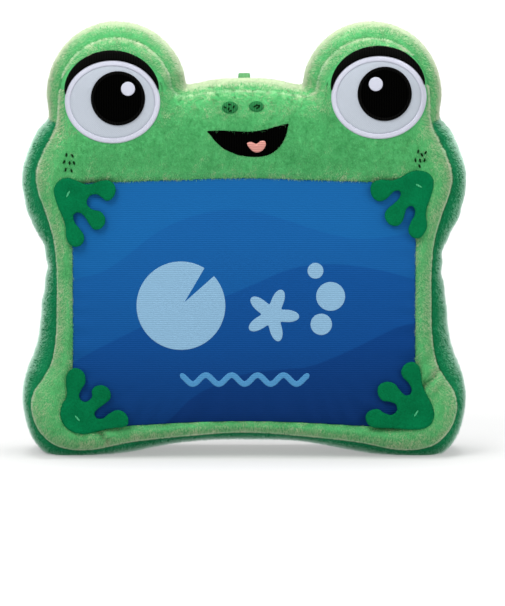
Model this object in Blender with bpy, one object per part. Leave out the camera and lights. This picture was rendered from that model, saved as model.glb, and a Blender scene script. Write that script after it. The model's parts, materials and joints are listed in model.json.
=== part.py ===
"""Frog hand puppet: a stuffed frog-faced cushion with a pocket for a hand behind it.

The frog stands on two foot lobes and faces -Y. A plush front panel frames a smooth printed
panel, a gusset runs round the edge, and the back carries a pocket that opens downwards. The
head nods on a fold line above the printed panel, the toes of four felt hands lift, and a
ribbon loop swings on the back seam of the head.

Outlines are lists of (x, z) in millimetres on the right half, from the bottom centre round to
the top centre. The seam, rim and window outlines match point for point, so that every skin is
a loft between them. Lengths elsewhere are in metres.
"""

import math

import bmesh
import bpy
from mathutils import Vector

MM = 0.001

# Driving dimensions
GAP = 0.3 * MM            # room between neighbouring pieces
SKIN = 2.0 * MM           # plush cloth with its pile
WIDE = 150 * MM           # reach of a cutter past everything
TALL = 200 * MM

NECK = Vector((0.0, 0.0, 124.5 * MM))     # fold line that the head nods on
POCKET_HALF_WIDTH = 52.0 * MM
POCKET_FRONT = 6.0 * MM                   # depth at which the pocket begins
POCKET_BACK = 26.4 * MM                   # rim of the lining tray
POCKET_BOTTOM = 11.0 * MM
POCKET_TOP = 121.5 * MM
LINING = 1.2 * MM
BACK_LINING = 1.0 * MM
BACK_LINING_RISE = 2.0 * MM               # from the arch up to the back lining
ARCH_HALF_WIDTH = 48.0 * MM               # mouth of the pocket in the back panel
ARCH_HEIGHT = 20.0 * MM
ARCH_CENTRE = 4.0 * MM
ARCH_CUT = (25.0 * MM, 30.0 * MM)         # middle depth of the arch's cutter, and its length
BINDING = 1.3 * MM                        # radius of the bound hems
BINDING_DROP = 0.7 * MM                   # room between the arch's edge and its binding
BINDING_SPAN = (15, 165)                  # angles of the arch that the binding follows
BINDING_DEPTHS = (26.0 * MM, 28.4 * MM)   # of the arch's binding, on the ground and at the top
FRONT_HEM = (51, 20)                      # half width and height that the front hem stays within
NOD_SLOPES = (14, 10)     # degrees that the head wad rises from the fold, ahead and behind

DOME_CENTRE = (54.8, 155.7)               # eye domes, millimetres
DOME_ANGLES = (0, 18, 36, 54, 72, 90, 108, 126, 144, 160, 174)
SEAM_DOME = 24.0
RIM_DOME = 29.4

SIDE_SEAM = 8             # outline point where the bottom and side gussets meet
CHEEK_SEAM = 19           # outline point where the side and head gussets meet

# Front and back seam, up to the dome and after it
SEAM_BODY = ((0, 11.0), (25, 9.4), (48, 6.9), (67, 3.4), (80, 5.0), (87.6, 11.2), (91.0, 20),
             (90.1, 27.5), (86, 34), (82.3, 41), (80.4, 52), (80, 66), (80, 80), (81.2, 93),
             (84.4, 104.5), (87.6, 113.5), (88.5, 121.7), (85.8, 130.3), (82.4, 137),
             (79.6, 143.6))
SEAM_CROWN = ((27, 153.2), (14, 153.8), (0, 154.2))
# Widest outline, at mid-depth; the foot lobes press flat on the ground
RIM_BODY = ((0, 6.9), (25, 6.0), (49, 1.6), (68, -0.9), (83, -0.4), (91.2, 7.5), (94.6, 20),
            (94.6, 28), (92.8, 36), (89.6, 44), (87.4, 53), (86.2, 66), (84.2, 81), (86, 91),
            (91.4, 101), (94.3, 112), (94.7, 121.7), (92.2, 130.3), (88.6, 138.2), (83.4, 145))
RIM_CROWN = ((22.5, 157.9), (12, 160.0), (0, 160.6))
# Window that the printed panel fills
WINDOW = ((0, 16.4), (22, 15.9), (44, 14.7), (60, 13.9), (69.3, 15.2), (72.5, 19.3), (73.1, 25),
          (73.2, 31), (73.1, 37), (73.0, 44), (73.0, 53), (73.0, 66), (73.0, 80), (73.1, 92),
          (73.2, 102), (73.0, 110.5), (71.8, 115.6), (68, 118), (62, 118.5), (56, 118.7),
          *((x, 118.8 + (53 - x) * 0.03) for x in range(53, 20, -3)), (18, 120), (9, 120.2),
          (0, 120.3))
WINDOW_HEIGHTS = (16.4, 120.3)
WINDOW_HALF_WIDTH = 73.2

# Sections in millimetres. Gusset: (share of the way from seam to rim, depth).
GUSSET = ((0, -19.0), (0.55, -16), (0.95, -11), (1, 0), (0.95, 11), (0.55, 16), (0, 19.0))
# Panels: (inset from the seam, depth), outside and inside of the cloth, then the filling
FRONT_OUTSIDE = ((0, -19.3), (0.5, -22.9), (1.9, -25.8), (4.5, -27.2))
FRONT_INSIDE = ((5.2, -25.2), (3.4, -24.0), (2.4, -21.9), (2.0, -19.3))
BACK_OUTSIDE = ((4.5, 30.0), (1.9, 28.1), (0.5, 24.1), (0, 19.3))
BACK_INSIDE = ((2.0, 19.3), (2.4, 23.2), (3.6, 26.6), (5.2, 28.0))
FILL_FRONT = ((5.6, -24.9), (4.2, -23.6), (3.3, -21.4))
FILL_BACK = ((3.3, 22.5), (4.4, 25.9), (5.6, 27.7))
FILL_INSET = 3.0
# (margin from the window's edge, depth)
WINDOW_LIP = ((-2.5, -27.2), (0, -26.6), (0, -25.2))
SCREEN = ((0.3, -25.2), (0.3, -26.2), (3, -26.8))
CAP_MARGIN = 3

# Embroidery and felt: (nearest, farthest) depth of each layer, from the front panel outwards
FIRST_LAYER = (-28.2 * MM, -27.5 * MM)
BORDER_LAYER = (-28.5 * MM, -27.5 * MM)
SECOND_LAYER = (-29.1 * MM, -28.5 * MM)
RING_LAYER = (-29.2 * MM, -28.5 * MM)
TOP_LAYER = (-30.0 * MM, -29.4 * MM)
FELT_LAYER = (-29.3 * MM, -27.5 * MM)
TACK_LAYER = (-30.0 * MM, -29.6 * MM)

EYES = {"left": (-56.1, 153.4), "right": (57.5, 155.3)}
EYE_RADII = (20.4, 17.7)
EYE_BORDER = 2.5
PUPIL_OFFSET = (2.4, 1.6)
PUPIL_RADIUS = 9.9
PUPIL_BORDER = 1.8
HIGHLIGHT = {"left": (4.3, 4.1), "right": (-3.8, 4.2)}
HIGHLIGHT_RADIUS = 3.1
EYELID = 4.1              # thickness of the black crescent at its top
EYELID_SPAN = (17, 170)   # angles that the crescent covers, in degrees
EYELID_TIP = 0.2          # thickness of the crescent at its ends
EYELID_FULLNESS = 0.7     # below 1 the crescent keeps its thickness nearer to the ends
EYELID_STEPS = 17

NOSTRILS = {"left": (-6.0, 151.0, 3.4, 2.5), "right": (5.3, 151.4, 3.1, 2.2)}
MOUTH = ((-15.7, 140.8), (-12.8, 141.2), (-8.6, 141.2), (-4.3, 141.0), (-0.7, 140.8), (2.8, 140.8),
         (7.1, 141.3), (11.4, 142.3), (15.0, 143.3), (18.7, 144.1), (18.6, 142.4), (18.0, 139.4),
         (16.7, 136.5), (15.0, 134.0), (12.1, 131.6), (8.9, 130.3), (5.7, 129.9), (2.1, 130.0),
         (-2.1, 130.6), (-5.0, 131.7), (-8.2, 133.1), (-10.7, 135.1), (-12.8, 137.2),
         (-14.3, 139.2))
TONGUE = ((1.3, 136.1), (3.2, 136.5), (5.2, 135.7), (7.0, 136.9), (8.7, 136.9), (9.4, 135.8),
          (9.1, 134.3), (7.8, 132.6), (5.7, 131.8), (3.9, 132.2), (2.4, 133.5), (1.4, 134.9))
FRECKLES = ((-1.3, 3.4), (1.2, 3.0), (-2.2, 0.4), (0.1, 0.0), (2.1, 0.0), (-1.2, -3.0),
            (1.1, -3.2))
FRECKLE_CENTRE = {"left": (-74.6, 127.3), "right": (75.1, 129.0)}
FRECKLE_RADIUS = 0.8
FRECKLE_ORDER = (0, 1, 4, 3, 2, 5, 6)     # in which the jumping thread visits the dots
FRECKLE_THREAD = (0.25 * MM, 0.4 * MM)    # half width and height of that thread

# Felt hands: tack, a point that the toes lie towards, then the outline
HANDS = {
    "upper_left": ((-75.1, 114.0), (-69.1, 108.7), (
        (-81.2, 116.1), (-79.0, 119.8), (-75.3, 121.0), (-71.6, 119.8), (-67.8, 118.3),
        (-64.5, 118.5), (-61.1, 119.7), (-57.7, 119.9), (-55.2, 117.8), (-54.9, 114.7),
        (-56.4, 112.0), (-58.7, 111.1), (-60.8, 112.6), (-62.8, 113.8), (-65.5, 113.4),
        (-67.0, 111.3), (-66.7, 109.0), (-64.5, 107.3), (-61.4, 106.6), (-59.4, 104.2),
        (-59.4, 101.5), (-61.1, 99.3), (-63.7, 98.8), (-65.7, 100.5), (-67.5, 103.5),
        (-69.2, 105.4), (-71.2, 106.1), (-72.8, 104.8), (-72.4, 102.0), (-70.4, 99.5),
        (-68.5, 96.7), (-68.3, 94.2), (-69.9, 92.0), (-72.6, 91.5), (-74.9, 93.0), (-76.0, 96.1),
        (-76.2, 99.5), (-77.2, 103.5), (-79.0, 107.6), (-80.5, 111.7))),
    "upper_right": ((74.6, 117.5), (69.1, 111.7), (
        (53.9, 116.2), (54.5, 118.5), (56.9, 120.0), (59.8, 120.2), (63.3, 119.9), (66.3, 120.9),
        (68.8, 122.4), (71.4, 123.7), (74.4, 124.2), (77.4, 123.7), (79.5, 122.3), (80.8, 120.0),
        (80.8, 117.5), (80.2, 114.5), (79.1, 111.0), (78.0, 108.0), (77.6, 104.6), (78.1, 102.0),
        (78.0, 99.4), (76.7, 96.8), (74.8, 95.1), (72.2, 95.3), (70.5, 97.1), (70.2, 99.4),
        (71.2, 102.0), (72.6, 104.6), (73.0, 106.7), (72.2, 108.4), (70.8, 108.8), (69.3, 107.6),
        (68.6, 105.4), (68.0, 103.3), (66.7, 101.1), (64.6, 100.3), (62.0, 101.1), (60.3, 103.3),
        (60.2, 105.9), (61.6, 108.0), (63.7, 109.7), (65.8, 111.7), (66.8, 113.7), (66.3, 115.2),
        (64.8, 115.4), (63.3, 114.5), (61.6, 112.7), (59.8, 111.4), (57.7, 110.9), (55.6, 111.9),
        (54.3, 113.8))),
    "lower_left": ((-71.4, 17.7), (-66.8, 22.6), (
        (-75.9, 27.3), (-76.2, 33.2), (-75.7, 36.8), (-73.2, 39.3), (-70.1, 38.8), (-68.1, 36.4),
        (-68.0, 32.8), (-69.6, 30.1), (-70.6, 27.6), (-69.6, 25.3), (-67.2, 24.9), (-65.1, 26.9),
        (-65.1, 29.6), (-63.3, 31.6), (-60.2, 31.9), (-57.5, 29.8), (-57.2, 26.4), (-59.5, 24.0),
        (-62.4, 21.9), (-64.0, 19.9), (-63.1, 17.8), (-60.4, 17.7), (-57.8, 19.7), (-54.8, 21.2),
        (-51.9, 20.8), (-49.8, 18.3), (-49.7, 15.3), (-51.9, 13.9), (-55.2, 13.5), (-58.4, 13.1),
        (-62.0, 12.2), (-65.6, 11.3), (-69.2, 10.9), (-73.7, 11.9), (-77.3, 15.0), (-78.7, 19.2),
        (-77.9, 23.7))),
    "lower_right": ((73.7, 19.8), (67.7, 24.3), (
        (67.2, 37.7), (68.5, 40.7), (71.7, 42.1), (74.6, 40.5), (75.7, 36.8), (76.4, 31.9),
        (78.6, 27.3), (80.7, 22.8), (81.4, 18.8), (79.9, 15.0), (76.3, 13.1), (71.7, 12.8),
        (67.2, 13.1), (62.7, 13.4), (58.2, 13.5), (54.7, 14.0), (52.6, 15.9), (52.0, 18.8),
        (53.9, 21.1), (57.3, 21.7), (60.1, 20.0), (63.1, 19.2), (65.4, 21.0), (64.9, 23.7),
        (62.2, 24.8), (58.9, 25.5), (57.2, 28.5), (57.7, 31.9), (60.9, 33.5), (64.5, 32.5),
        (66.7, 29.8), (68.8, 27.7), (70.9, 28.0), (71.7, 30.1), (70.3, 33.0), (68.1, 35.2))),
}
TOE_HINGE = 4.5           # distance from tack to the line that the toes lift on
TACK_RADII = (2.0, 0.5)
HAND_REACH = 60           # past the far side of any hand
FELT_CLEARANCE = 5 * MM   # how far a cutter passes the felt

LOOP_CENTRE = (22.6, 158.4)               # (y, z) of the ribbon loop, millimetres
LOOP_ROOT = (20.0, 155.2)
LOOP_RADII = (4.1, 3.2)
LOOP_ROOT_RADIUS = 0.9
LOOP_TANGENT = 105                        # degrees from the loop's axis to where it straightens
LOOP_WIDTH = 5.6 * MM


def new_collection(name):
    collection = bpy.data.collections.new(name)
    bpy.context.scene.collection.children.link(collection)
    return collection


for old in list(bpy.data.objects):
    bpy.data.objects.remove(old, do_unlink=True)
PARTS = new_collection("hand_puppet")
CUTTERS = new_collection("cutters")


def make_material(name, colour, roughness):
    material = bpy.data.materials.new(name)
    material.use_nodes = True
    shader = material.node_tree.nodes["Principled BSDF"]
    shader.inputs["Base Color"].default_value = (*colour, 1.0)
    shader.inputs["Roughness"].default_value = roughness
    shader.inputs["Metallic"].default_value = 0.0
    return material


MATERIALS = {
    "light_plush": make_material("light_green_plush", (0.12, 0.40, 0.13), 0.95),
    "dark_plush": make_material("dark_green_plush", (0.02, 0.22, 0.09), 0.95),
    "print": make_material("printed_knit", (0.012, 0.12, 0.37), 0.6),
    "felt": make_material("green_felt", (0.002, 0.15, 0.055), 0.95),
    "white": make_material("white_thread", (0.60, 0.63, 0.70), 0.5),
    "black": make_material("black_thread", (0.004, 0.004, 0.004), 0.45),
    "pink": make_material("pink_thread", (0.65, 0.30, 0.26), 0.5),
    "dark_thread": make_material("dark_green_thread", (0.01, 0.10, 0.04), 0.6),
    "ribbon": make_material("green_ribbon", (0.01, 0.17, 0.07), 0.7),
    "lining": make_material("green_lining", (0.01, 0.14, 0.06), 0.8),
    "fill": make_material("polyester_fill", (0.85, 0.85, 0.83), 0.95),
}


def smooth_outline(points, samples):
    """Closed Catmull-Rom curve through points."""
    keys = [Vector(point) for point in points]
    count = len(keys)
    outline = []
    for index in range(count):
        before = keys[index - 1]
        start = keys[index]
        end = keys[(index + 1) % count]
        after = keys[(index + 2) % count]
        for step in range(samples):
            t = step / samples
            outline.append(0.5 * (2 * start + (end - before) * t
                                  + (2 * before - 5 * start + 4 * end - after) * t ** 2
                                  + (3 * start - before - 3 * end + after) * t ** 3))
    return outline


def mirrored(half):
    """Whole outline from its right half, which starts and ends on the centre line."""
    return [Vector(point) for point in (*half, *((-x, z) for x, z in reversed(half[1:-1])))]


def dome(radius):
    """Points round the right eye dome, from its outer side over the top."""
    points = []
    for degrees in DOME_ANGLES:
        angle = math.radians(degrees)
        points.append((DOME_CENTRE[0] + radius * math.cos(angle),
                       DOME_CENTRE[1] + radius * math.sin(angle)))
    return points


def outward_normals(outline):
    normals = []
    for index, point in enumerate(outline):
        along = outline[(index + 1) % len(outline)] - outline[index - 1]
        normals.append(Vector((along.y, -along.x)).normalized())
    return normals


SEAM_LINE = mirrored([*SEAM_BODY, *dome(SEAM_DOME), *SEAM_CROWN])
RIM_LINE = mirrored([*RIM_BODY, *dome(RIM_DOME), *RIM_CROWN])
WINDOW_LINE = mirrored(WINDOW)
SEAM_NORMALS = outward_normals(SEAM_LINE)


def ring(share, inset, depth):
    """Ring of points between seam and rim, set in along the cloth, never under the ground."""
    points = []
    for seam, rim, normal in zip(SEAM_LINE, RIM_LINE, SEAM_NORMALS):
        flat = seam.lerp(rim, share) - normal * inset
        points.append(Vector((flat.x, depth, max(flat.y, inset))) * MM)
    return points


def window_ring(margin, depth):
    """Ring at the window's edge, moved in by margin."""
    middle = sum(WINDOW_HEIGHTS) / 2
    half_height = WINDOW_HEIGHTS[1] - middle
    points = []
    for point in WINDOW_LINE:
        x = point.x * (1 - margin / WINDOW_HALF_WIDTH)
        z = middle + (point.y - middle) * (1 - margin / half_height)
        points.append(Vector((x, depth, z)) * MM)
    return points


def capped(rings):
    """Rings with a plain oblong added at each flat end, which a face can fill."""
    ends = [window_ring(CAP_MARGIN, points[0].y / MM) for points in (rings[0], rings[-1])]
    return [ends[0], *rings, ends[1]]


def add_object(name, data, material, pivot=None, origin=(0, 0, 0)):
    """Link an object with its material; its origin is given in world metres."""
    obj = bpy.data.objects.new(name, data)
    data.materials.append(MATERIALS[material])
    PARTS.objects.link(obj)
    obj.location = Vector(origin)
    if pivot is not None:
        obj.parent = pivot
        obj.location -= pivot.location
    return obj


def mesh_from(bm, name):
    bmesh.ops.triangulate(bm, faces=[face for face in bm.faces if len(face.verts) > 4],
                          ngon_method="EAR_CLIP")
    bmesh.ops.recalc_face_normals(bm, faces=bm.faces)
    mesh = bpy.data.meshes.new(name)
    bm.to_mesh(mesh)
    bm.free()
    mesh.shade_smooth()
    mesh.set_sharp_from_angle(angle=math.radians(40))
    return mesh


def loft(name, rings, material, hollow=False, pivot=None):
    """Solid through rings: capped at both ends, or closed on itself round a hole."""
    bm = bmesh.new()
    loops = [[bm.verts.new(point) for point in points] for points in rings]
    pairs = list(zip(loops, loops[1:]))
    if hollow:
        pairs.append((loops[-1], loops[0]))
    else:
        bm.faces.new(loops[0])
        bm.faces.new(loops[-1])
    for one, two in pairs:
        for index in range(len(one)):
            bm.faces.new((one[index - 1], one[index], two[index], two[index - 1]))
    return add_object(name, mesh_from(bm, name), material, pivot)


def strip(name, rings, first, last, material, pivot=None):
    """Length of gusset between two outline points; rings go round the cloth's section."""
    bm = bmesh.new()
    columns = []
    for index in range(first, last + 1):
        column = []
        for points in rings:
            point = points[index % len(points)]
            if index in (first, last):
                step = 1 if index == first else -1
                inner = points[(index + step) % len(points)]
                point = point + (inner - point).normalized() * GAP / 2
            column.append(bm.verts.new(point))
        columns.append(column)
    for end in (columns[0], columns[-1]):
        outside = end[:len(end) // 2]
        inside = end[:len(end) // 2 - 1:-1]
        for index in range(1, len(outside)):
            bm.faces.new((outside[index - 1], outside[index], inside[index], inside[index - 1]))
    for one, two in zip(columns, columns[1:]):
        for index in range(len(one)):
            bm.faces.new((one[index - 1], one[index], two[index], two[index - 1]))
    return add_object(name, mesh_from(bm, name), material, pivot)


def plate(name, outlines, layer, material, pivot=None):
    """Flat piece facing -Y: a filled 2D curve in the XZ plane, the later outlines its holes."""
    nearest, farthest = layer
    curve = bpy.data.curves.new(name, "CURVE")
    curve.dimensions = "2D"
    curve.fill_mode = "BOTH"
    curve.extrude = (farthest - nearest) / 2
    for outline in outlines:
        spline = curve.splines.new("POLY")
        spline.points.add(len(outline) - 1)
        for point, (x, z) in zip(spline.points, outline):
            point.co = (x * MM, z * MM, 0.0, 1.0)
        spline.use_cyclic_u = True
    obj = add_object(name, curve, material, pivot, (0, (nearest + farthest) / 2, 0))
    obj.rotation_euler = (math.radians(90), 0, 0)
    return obj


def tube(name, points, radius, material):
    curve = bpy.data.curves.new(name, "CURVE")
    curve.dimensions = "3D"
    curve.bevel_depth = radius
    curve.bevel_resolution = 1
    curve.use_fill_caps = True
    spline = curve.splines.new("POLY")
    spline.points.add(len(points) - 1)
    for point, position in zip(spline.points, points):
        point.co = (*position, 1.0)
    return add_object(name, curve, material)


def ellipse(centre, radii, count=32, span=(0, 360)):
    """Points on an ellipse, or on the part of it between two angles in degrees."""
    whole = span[1] - span[0] == 360
    points = []
    for index in range(count):
        share = index / count if whole else index / (count - 1)
        angle = math.radians(span[0] + (span[1] - span[0]) * share)
        points.append((centre[0] + radii[0] * math.cos(angle),
                       centre[1] + radii[1] * math.sin(angle)))
    return points


def as_mesh(obj):
    """The same piece as a welded mesh, so that a Boolean can cut it."""
    depsgraph = bpy.context.evaluated_depsgraph_get()
    mesh = bpy.data.meshes.new_from_object(obj.evaluated_get(depsgraph))
    bm = bmesh.new()
    bm.from_mesh(mesh)
    bmesh.ops.remove_doubles(bm, verts=bm.verts, dist=0.01 * MM)
    bmesh.ops.recalc_face_normals(bm, faces=bm.faces)
    bm.to_mesh(mesh)
    bm.free()
    name = obj.name
    parent = obj.parent
    place = obj.location.copy()
    turn = obj.rotation_euler.copy()
    bpy.data.objects.remove(obj, do_unlink=True)
    piece = bpy.data.objects.new(name, mesh)
    PARTS.objects.link(piece)
    piece.parent = parent
    piece.location = place
    piece.rotation_euler = turn
    return piece


def add_cutter(name, mesh_maker):
    """Cutter object from a function that fills a bmesh."""
    bm = bmesh.new()
    mesh_maker(bm)
    mesh = bpy.data.meshes.new(name)
    bmesh.ops.recalc_face_normals(bm, faces=bm.faces)
    bm.to_mesh(mesh)
    bm.free()
    obj = bpy.data.objects.new(name, mesh)
    obj.hide_render = True
    obj.display_type = "WIRE"
    CUTTERS.objects.link(obj)
    return obj


def box_cutter(name, low, high):
    def fill(bm):
        bmesh.ops.create_cube(bm, size=1.0)
        size = Vector(high) - Vector(low)
        for vert in bm.verts:
            vert.co = Vector(low) + Vector((size[i] * (vert.co[i] + 0.5) for i in range(3)))
    return add_cutter(name, fill)


def prism_cutter(name, profile, half_length):
    """Prism along X with its section given as (y, z) points in metres."""
    def fill(bm):
        near = [bm.verts.new((-half_length, y, z)) for y, z in profile]
        far = [bm.verts.new((half_length, y, z)) for y, z in profile]
        bm.faces.new(near)
        bm.faces.new(far)
        for index in range(len(profile)):
            bm.faces.new((near[index - 1], near[index], far[index], far[index - 1]))
    return add_cutter(name, fill)


def cut(obj, cutter, solver="EXACT"):
    modifier = obj.modifiers.new(cutter.name, "BOOLEAN")
    modifier.operation = "DIFFERENCE"
    modifier.solver = solver
    modifier.object = cutter


def cut_loft(obj, cutter):
    """Cut a capped loft: the exact solver loses these, and both meshes are closed."""
    cut(obj, cutter, "MANIFOLD")


def pivot_at(name, position):
    empty = bpy.data.objects.new(name, None)
    empty.empty_display_size = 10 * MM
    empty.location = position
    PARTS.objects.link(empty)
    return empty


def gusset_rings():
    outside = [ring(share, 0, depth) for share, depth in GUSSET]
    inside = [ring(share, SKIN / MM, depth) for share, depth in reversed(GUSSET)]
    return outside + inside


def make_front():
    """Plush front with its window, and the printed panel that fills it."""
    outside = [ring(0, inset, depth) for inset, depth in FRONT_OUTSIDE]
    lip = [window_ring(margin, depth) for margin, depth in WINDOW_LIP]
    inside = [ring(0, inset, depth) for inset, depth in FRONT_INSIDE]
    loft("front_panel", outside + lip + inside, "light_plush", hollow=True)
    loft("screen_panel", [window_ring(margin, depth) for margin, depth in SCREEN], "print")


def make_gusset(head):
    rings = gusset_rings()
    keys = len(SEAM_LINE)
    bottom = strip("bottom_gusset", rings, -SIDE_SEAM, SIDE_SEAM, "dark_plush")
    cut(bottom, box_cutter("pocket_mouth_cutter",
                           (-POCKET_HALF_WIDTH, POCKET_FRONT, -10 * MM),
                           (POCKET_HALF_WIDTH, WIDE, 30 * MM)))
    strip("side_gusset_right", rings, SIDE_SEAM, CHEEK_SEAM, "dark_plush")
    strip("side_gusset_left", rings, keys - CHEEK_SEAM, keys - SIDE_SEAM, "dark_plush")
    strip("head_gusset", rings, CHEEK_SEAM, keys - CHEEK_SEAM, "light_plush", head)


def make_back(head):
    """Back of the body with the arched mouth of the pocket, and back of the head."""
    sections = (*BACK_OUTSIDE, *BACK_INSIDE)
    rings = capped([ring(0, inset, depth) for inset, depth in sections])
    split = NECK.z
    back = loft("back_panel", rings, "dark_plush")
    cut_loft(back, box_cutter("above_back_cutter", (-WIDE, 0, split - GAP / 2),
                              (WIDE, WIDE, 2 * TALL)))

    def arch(bm):
        bmesh.ops.create_cone(bm, cap_ends=True, segments=40, radius1=1, radius2=1, depth=1)
        for vert in bm.verts:
            x, y, depth = vert.co
            vert.co = (x * ARCH_HALF_WIDTH, ARCH_CUT[0] - depth * ARCH_CUT[1],
                       ARCH_CENTRE + y * ARCH_HEIGHT)
    cut_loft(back, add_cutter("arch_cutter", arch))
    head_back = loft("head_back_panel", rings, "light_plush", pivot=head)
    cut_loft(head_back, box_cutter("below_head_back_cutter", (-WIDE, 0, -TALL),
                                   (WIDE, WIDE, split + GAP / 2)))


def fill_rings():
    front = [ring(0, inset, depth) for inset, depth in FILL_FRONT]
    middle = [ring(share, FILL_INSET, depth) for share, depth in GUSSET]
    back = [ring(0, inset, depth) for inset, depth in FILL_BACK]
    return capped(front + middle + back)


def make_filling(head):
    """Body and side wads up to the fold line, and the head wad that rocks on it."""
    rings = fill_rings()
    top = box_cutter("above_body_cutter", (-WIDE, -WIDE, NECK.z - GAP), (WIDE, WIDE, 2 * TALL))
    body = loft("body_stuffing", rings, "fill")
    cut_loft(body, top)
    cut_loft(body, box_cutter("behind_body_cutter", (-WIDE, POCKET_FRONT, -TALL),
                              (WIDE, WIDE, TALL)))
    ahead = box_cutter("ahead_of_side_cutter", (-WIDE, -WIDE, -TALL),
                       (WIDE, POCKET_FRONT + GAP, TALL))
    for side, sign in (("left", -1), ("right", 1)):
        wad = loft("side_stuffing_" + side, rings, "fill")
        cut_loft(wad, top)
        cut_loft(wad, ahead)
        edges = sorted((-sign * WIDE, sign * POCKET_HALF_WIDTH))
        cut_loft(wad, box_cutter("inside_" + side + "_cutter", (edges[0], -WIDE, -TALL),
                                 (edges[1], WIDE, TALL)))
    head_wad = loft("head_stuffing", rings, "fill", pivot=head)
    ahead_rise, behind_rise = (WIDE * math.tan(math.radians(slope)) for slope in NOD_SLOPES)
    wedge = ((-WIDE, NECK.z + ahead_rise), (0, NECK.z), (WIDE, NECK.z + behind_rise),
             (WIDE, -TALL), (-WIDE, -TALL))
    cut_loft(head_wad, prism_cutter("below_head_cutter", wedge, WIDE))


def make_pocket():
    """Lining tray against the filling, lining behind it, and the two bound hems."""
    half = POCKET_HALF_WIDTH - GAP
    top = POCKET_TOP - GAP
    near = Vector((-half, POCKET_FRONT + GAP, POCKET_BOTTOM))
    size = Vector((half, POCKET_BACK, top)) - near
    bm = bmesh.new()
    bmesh.ops.create_cube(bm, size=1.0)
    for vert in bm.verts:
        vert.co = near + Vector((size[i] * (vert.co[i] + 0.5) for i in range(3)))
    tray = add_object("pocket_lining_front", mesh_from(bm, "pocket_lining_front"), "lining")
    cut(tray, box_cutter("pocket_cutter", (-half + LINING, near.y + LINING, -TALL),
                         (half - LINING, WIDE, top - LINING)))
    back_low = ARCH_CENTRE + ARCH_HEIGHT + BACK_LINING_RISE
    outline = ((-half, back_low), (half, back_low), (half, top), (-half, top))
    outline = [(x / MM, z / MM) for x, z in outline]
    back = POCKET_BACK + GAP
    plate("pocket_lining_back", [outline], (back, back + BACK_LINING), "lining")

    drop = BINDING + BINDING_DROP
    arch = ellipse((0, ARCH_CENTRE), (ARCH_HALF_WIDTH - drop, ARCH_HEIGHT - drop), 25,
                   BINDING_SPAN)
    ground, crown = BINDING_DEPTHS
    tube("pocket_binding_back",
         [(x, ground + (crown - ground) * z / (ARCH_HEIGHT + ARCH_CENTRE), z) for x, z in arch],
         BINDING, "ribbon")
    hem = [point * MM for point in RIM_LINE
           if abs(point.x) < FRONT_HEM[0] and point.y < FRONT_HEM[1]]
    hem.sort(key=lambda point: point.x)
    tube("pocket_binding_front", [(point.x, POCKET_FRONT + GAP + BINDING, point.y + BINDING / 2)
                                  for point in hem], BINDING, "ribbon")


def make_eye(side, head):
    centre = Vector(EYES[side])
    outer = EYE_RADII
    inner = (outer[0] - EYE_BORDER, outer[1] - EYE_BORDER)
    gap = GAP / MM
    plate("eye_border_" + side, [ellipse(centre, outer, 40), ellipse(centre, inner, 40)],
          BORDER_LAYER, "white", head)
    plate("eye_white_" + side, [ellipse(centre, (inner[0] - gap, inner[1] - gap), 40)],
          FIRST_LAYER, "white", head)
    pupil = centre + Vector(PUPIL_OFFSET)
    plate("pupil_" + side, [ellipse(pupil, (PUPIL_RADIUS, PUPIL_RADIUS), 28)],
          SECOND_LAYER, "black", head)
    ring_in = PUPIL_RADIUS + gap
    ring_out = PUPIL_RADIUS + PUPIL_BORDER
    plate("pupil_border_" + side, [ellipse(pupil, (ring_out, ring_out), 28),
                                   ellipse(pupil, (ring_in, ring_in), 28)],
          RING_LAYER, "black", head)
    glint = pupil + Vector(HIGHLIGHT[side])
    plate("eye_highlight_" + side, [ellipse(glint, (HIGHLIGHT_RADIUS, HIGHLIGHT_RADIUS), 16)],
          TOP_LAYER, "white", head)
    lid = []
    for index in range(EYELID_STEPS):
        share = index / (EYELID_STEPS - 1)
        angle = math.radians(EYELID_SPAN[0] + (EYELID_SPAN[1] - EYELID_SPAN[0]) * share)
        swell = math.sin(math.pi * share) ** EYELID_FULLNESS
        reach = gap + EYELID_TIP + (EYELID - EYELID_TIP) * swell
        lid.append((centre.x + (outer[0] + reach) * math.cos(angle),
                    centre.y + (outer[1] + reach) * math.sin(angle)))
    lower = ellipse(centre, (outer[0] + gap, outer[1] + gap), EYELID_STEPS, EYELID_SPAN)
    plate("eyelid_" + side, [lid + lower[::-1][1:-1]], BORDER_LAYER, "black", head)


def make_face(head):
    for side in ("left", "right"):
        make_eye(side, head)
        x, z, half_width, half_height = NOSTRILS[side]
        plate("nostril_" + side, [ellipse((x, z), (half_width, half_height), 18)],
              FIRST_LAYER, "dark_thread", head)
        make_freckles(side)
    plate("mouth", [smooth_outline(MOUTH, 3)], FIRST_LAYER, "black", head)
    plate("tongue", [smooth_outline(TONGUE, 3)], SECOND_LAYER, "pink", head)


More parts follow.
